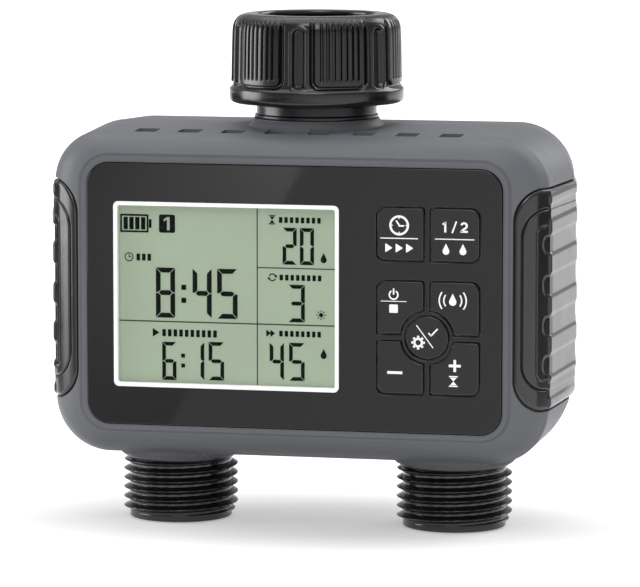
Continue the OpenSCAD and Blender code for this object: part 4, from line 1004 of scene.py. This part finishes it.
# ------------------------------------------------------------------ stage, light, camera
def stage_plane(name, x0, x1, y0, y1, z, m):
    me = bpy.data.meshes.new(name); me.from_pydata([(x0, y0, z), (x1, y0, z), (x1, y1, z), (x0, y1, z)], [], [(0, 1, 2, 3)])
    me.materials.append(m); o = bpy.data.objects.new(name, me); bpy.context.scene.collection.objects.link(o); return o
fm = mat("floor_white", (0.78, 0.78, 0.785), 0.6, var=0.004, var_scale=6, rough_var=0.03, spec=0.0)
# the floor glows as well as taking light: painted light that lifts its shadows and the bounce onto the housing's
# underside, glowing more further back
pb = fm.node_tree.nodes['Principled BSDF']; pb.inputs['Emission Color'].default_value = (1, 1, 1, 1); pb.inputs['Emission Strength'].default_value = 0.34
ft = fm.node_tree; ftc = ft.nodes.new('ShaderNodeTexCoord'); fsp = ft.nodes.new('ShaderNodeSeparateXYZ'); ft.links.new(ftc.outputs['Object'], fsp.inputs[0])
fmr = ft.nodes.new('ShaderNodeMapRange'); fmr.interpolation_type = 'SMOOTHSTEP'; ft.links.new(fsp.outputs['Y'], fmr.inputs['Value'])
fmr.inputs['From Min'].default_value = 0.7; fmr.inputs['From Max'].default_value = 2.4; fmr.inputs['To Min'].default_value = 0.34; fmr.inputs['To Max'].default_value = 0.8
ft.links.new(fmr.outputs['Result'], pb.inputs['Emission Strength'])
stage_plane("floor", -7, 7, -7, 7, -0.0002, fm)

def edge_x(y): return -0.0726 + (y + 0.1944) * (0.1385 / 0.7577)
def card(name, pts, kind):
    """a sheet lying on the floor beside or before the object, hidden from the camera and casting no shadow; kind: left,
    right or dark. The left and right sheets glow in ramps: painted light on the front and a painted light and dark
    reflection across the panel. The dark sheets show only in reflections: painted dark reflections on the nut, grips
    and sides.
    """
    me = bpy.data.meshes.new(name); me.from_pydata([(p[0], p[1], 0.0004) for p in pts], [], [tuple(range(len(pts)))])
    m = bpy.data.materials.new(name + "_grey"); m.use_nodes = True; nt = m.node_tree
    b = nt.nodes['Principled BSDF']; b.inputs['Roughness'].default_value = 0.9; b.inputs['Specular IOR Level'].default_value = 0.0
    b.inputs['Base Color'].default_value = (0.03, 0.03, 0.03, 1)
    def math_(op, a, c, clamp=False):
        n = nt.nodes.new('ShaderNodeMath'); n.operation = op; n.use_clamp = clamp
        for k, v in enumerate((a, c)):
            if hasattr(v, 'links'): nt.links.new(v, n.inputs[k])
            else: n.inputs[k].default_value = v
        return n.outputs[0]
    if kind != 'dark':
        tc = nt.nodes.new('ShaderNodeTexCoord'); sep = nt.nodes.new('ShaderNodeSeparateXYZ'); nt.links.new(tc.outputs['Object'], sep.inputs[0])
        X, Y = sep.outputs['X'], sep.outputs['Y']
        # distance to the right of the line the two cards share
        u = math_('SUBTRACT', X, math_('ADD', math_('MULTIPLY', Y, 0.1385 / 0.7577), edge_x(0.0)))
        if kind == 'left':
            v = math_('MULTIPLY', math_('ADD', u, 0.105), 1 / 0.105, True)
            t = math_('MULTIPLY', math_('ADD', Y, 0.22), -1 / 0.72, True)
            fade = math_('MULTIPLY', math_('ADD', u, 0.24), 1 / 0.09, True)
            e = math_('MULTIPLY', math_('ADD', math_('MULTIPLY', math_('MULTIPLY', v, t), 0.98), 0.47), math_('ADD', math_('MULTIPLY', fade, 0.9), 0.1))
        else:
            rp = nt.nodes.new('ShaderNodeValToRGB'); nt.links.new(math_('MULTIPLY', u, 2.0, True), rp.inputs[0])
            el = rp.color_ramp.elements; el[0].position = 0.0; el[0].color = (0.33, 0.33, 0.33, 1); el[1].position = 0.22; el[1].color = (0.38, 0.38, 0.38, 1)
            q = el.new(0.42); q.color = (0.62, 0.62, 0.62, 1); q = el.new(0.7); q.color = (0.62, 0.62, 0.62, 1)
            e = math_('MULTIPLY', rp.outputs[0], 2.15)
        b.inputs['Emission Color'].default_value = (1, 1, 1, 1)
        nt.links.new(e, b.inputs['Emission Strength'])
    me.materials.append(m); o = bpy.data.objects.new(name, me); bpy.context.scene.collection.objects.link(o); o.visible_camera = o.visible_shadow = o.visible_transmission = False; o.visible_diffuse = kind != 'dark'; return o
# glowing sheets before the object: painted light and painted reflection on the panel; dark sheets beside and behind it:
# painted dark reflections
card("card_left", [(-0.75, -1.5), (edge_x(-1.5), -1.5), (edge_x(-0.14), -0.14), (-0.75, -0.14)], 'left')
card("card_right", [(edge_x(-1.5), -1.5), (0.5, -1.5), (0.5, -0.14), (edge_x(-0.14), -0.14)], 'right')
card("card_back_left", [(-0.22, -0.01), (-2.2, -0.2), (-2.2, 1.5), (-0.95, 1.2), (-0.24, 0.2)], 'dark')
card("card_side", [(0.24, -0.03), (2.4, -0.25), (2.4, 1.35), (0.24, 0.14)], 'dark')

def shade_card():
    """a soft dim patch under and before the object, seen by diffuse light only: it softens the bounce from the floor,
    painting a soft contact shadow on the floor round the object and painted shade on the housing's lower band
    """
    n = 40; me = bpy.data.meshes.new("painted_shadow_card")
    me.from_pydata([(0.16 * math.cos(2 * pi * i / n), 0.085 * math.sin(2 * pi * i / n), 0.0006) for i in range(n)], [], [tuple(range(n))])
    m = bpy.data.materials.new("card_under_grey"); m.use_nodes = True; nt = m.node_tree; b = nt.nodes['Principled BSDF']
    b.inputs['Roughness'].default_value = 0.9; b.inputs['Specular IOR Level'].default_value = 0.0; b.inputs['Base Color'].default_value = (0.02, 0.02, 0.02, 1)
    tc = nt.nodes.new('ShaderNodeTexCoord'); mpp = nt.nodes.new('ShaderNodeMapping'); nt.links.new(tc.outputs['Object'], mpp.inputs['Vector'])
    mpp.inputs['Scale'].default_value = (1 / 0.16, 1 / 0.085, 0)
    ln = nt.nodes.new('ShaderNodeVectorMath'); ln.operation = 'LENGTH'; nt.links.new(mpp.outputs['Vector'], ln.inputs[0])
    mr = nt.nodes.new('ShaderNodeMapRange'); mr.interpolation_type = 'SMOOTHSTEP'; nt.links.new(ln.outputs['Value'], mr.inputs['Value'])
    # dimmest in the middle, where it paints the darkest shadow round the object's foot, brighter towards the rim
    mr.inputs['From Min'].default_value = 0.15; mr.inputs['From Max'].default_value = 0.9; mr.inputs['To Min'].default_value = 0.15; mr.inputs['To Max'].default_value = 1.35
    b.inputs['Emission Color'].default_value = (1, 1, 1, 1); nt.links.new(mr.outputs['Result'], b.inputs['Emission Strength'])
    me.materials.append(m); o = bpy.data.objects.new("painted_shadow_card", me); bpy.context.scene.collection.objects.link(o)
    o.visible_camera = o.visible_glossy = o.visible_shadow = o.visible_transmission = False
shade_card()

w = bpy.data.worlds.new("studio"); bpy.context.scene.world = w; w.use_nodes = True
nt = w.node_tree; nt.nodes.clear()
wo = nt.nodes.new('ShaderNodeOutputWorld'); bg = nt.nodes.new('ShaderNodeBackground'); nt.links.new(bg.outputs[0], wo.inputs[0])
tc = nt.nodes.new('ShaderNodeTexCoord'); sep = nt.nodes.new('ShaderNodeSeparateXYZ'); nt.links.new(tc.outputs['Generated'], sep.inputs[0])
at = nt.nodes.new('ShaderNodeMath'); at.operation = 'ARCTAN2'; nt.links.new(sep.outputs['X'], at.inputs[0]); nt.links.new(sep.outputs['Y'], at.inputs[1])
mp = nt.nodes.new('ShaderNodeMapRange'); mp.inputs['From Min'].default_value = -pi; mp.inputs['From Max'].default_value = pi; nt.links.new(at.outputs[0], mp.inputs['Value'])
cr = nt.nodes.new('ShaderNodeValToRGB'); nt.links.new(mp.outputs['Result'], cr.inputs['Fac'])
# around the horizon: 0 = behind the camera side, by way of -X, +Y and +X
def stop(deg): return (deg + 180) / 360
RING = [(-180, 0.95), (-160, 0.75), (-148, 0.2), (-122, 0.2), (-112, 1.0), (-86, 1.0), (-76, 0.12), (-50, 0.12), (-34, 0.95), (-20, 0.95), (4, 0.8), (44, 0.8), (57, 0.35), (62, 0.03), (88, 0.03), (104, 0.8), (125, 1.15), (180, 0.95)]
els = cr.color_ramp.elements
els[0].position = stop(RING[0][0]); els[0].color = (RING[0][1],) * 3 + (1,)
els[1].position = stop(RING[-1][0]); els[1].color = (RING[-1][1],) * 3 + (1,)
for dg_, v in RING[1:-1]:
    e_ = els.new(stop(dg_)); e_.color = (v, v, v, 1)
up = nt.nodes.new('ShaderNodeMapRange'); up.inputs['From Min'].default_value = 0.45; up.inputs['From Max'].default_value = 0.85; nt.links.new(sep.outputs['Z'], up.inputs['Value'])
low = nt.nodes.new('ShaderNodeMapRange'); low.inputs['From Min'].default_value = 0.03; low.inputs['From Max'].default_value = 0.2; nt.links.new(sep.outputs['Z'], low.inputs['Value'])
dim = nt.nodes.new('ShaderNodeMix'); dim.data_type = 'RGBA'; nt.links.new(low.outputs['Result'], dim.inputs['Factor']); nt.links.new(cr.outputs['Color'], dim.inputs['A']); dim.inputs['B'].default_value = (0.42, 0.42, 0.43, 1)
mx = nt.nodes.new('ShaderNodeMix'); mx.data_type = 'RGBA'; nt.links.new(up.outputs['Result'], mx.inputs['Factor']); nt.links.new(dim.outputs['Result'], mx.inputs['A']); mx.inputs['B'].default_value = (0.72, 0.72, 0.73, 1)
nt.links.new(mx.outputs['Result'], bg.inputs['Color'])
bg.inputs['Strength'].default_value = 0.95

def area(name, loc, target, size, power, color=(1, 1, 1), size_y=None, spread=None):
    l = bpy.data.lights.new(name, 'AREA'); l.energy = power; l.color = color; l.size = size
    if size_y: l.shape = 'RECTANGLE'; l.size_y = size_y
    o = bpy.data.objects.new(name, l); bpy.context.scene.collection.objects.link(o)
    o.location = loc; d = Vector(target) - Vector(loc); o.rotation_mode = 'QUATERNION'; o.rotation_quaternion = d.to_track_quat('-Z', 'Y')
    return o
area("top", (-0.2, 0.1, 1.9), (0, 0.05, 0.0), 2.6, 29)
area("strip_left", (-0.58, -0.06, 0.13), (0, 0, 0.10), 0.36, 1.9, size_y=0.32)
area("fill_right", (0.75, 0.95, 0.7), (0, 0, 0.05), 0.8, 7.3)
area("key", (0.12, -1.2, 1.15), (0, 0, 0.05), 0.8, 8)

cam = bpy.data.cameras.new("camera"); co = bpy.data.objects.new("camera", cam); bpy.context.scene.collection.objects.link(co)
cam.sensor_width = 36; cam.lens = 249.5; cam.clip_start = 0.05; cam.clip_end = 50
az, el = math.radians(12.699), math.radians(6.727)
back = Vector((math.sin(az) * math.cos(el), -math.cos(az) * math.cos(el), math.sin(el)))
co.location = (0.22672, -1.00269, 0.17460)
co.rotation_mode = 'QUATERNION'; co.rotation_quaternion = (-back).to_track_quat('-Z', 'Y')
bpy.context.scene.camera = co
bpy.context.scene.view_settings.view_transform = 'Standard'
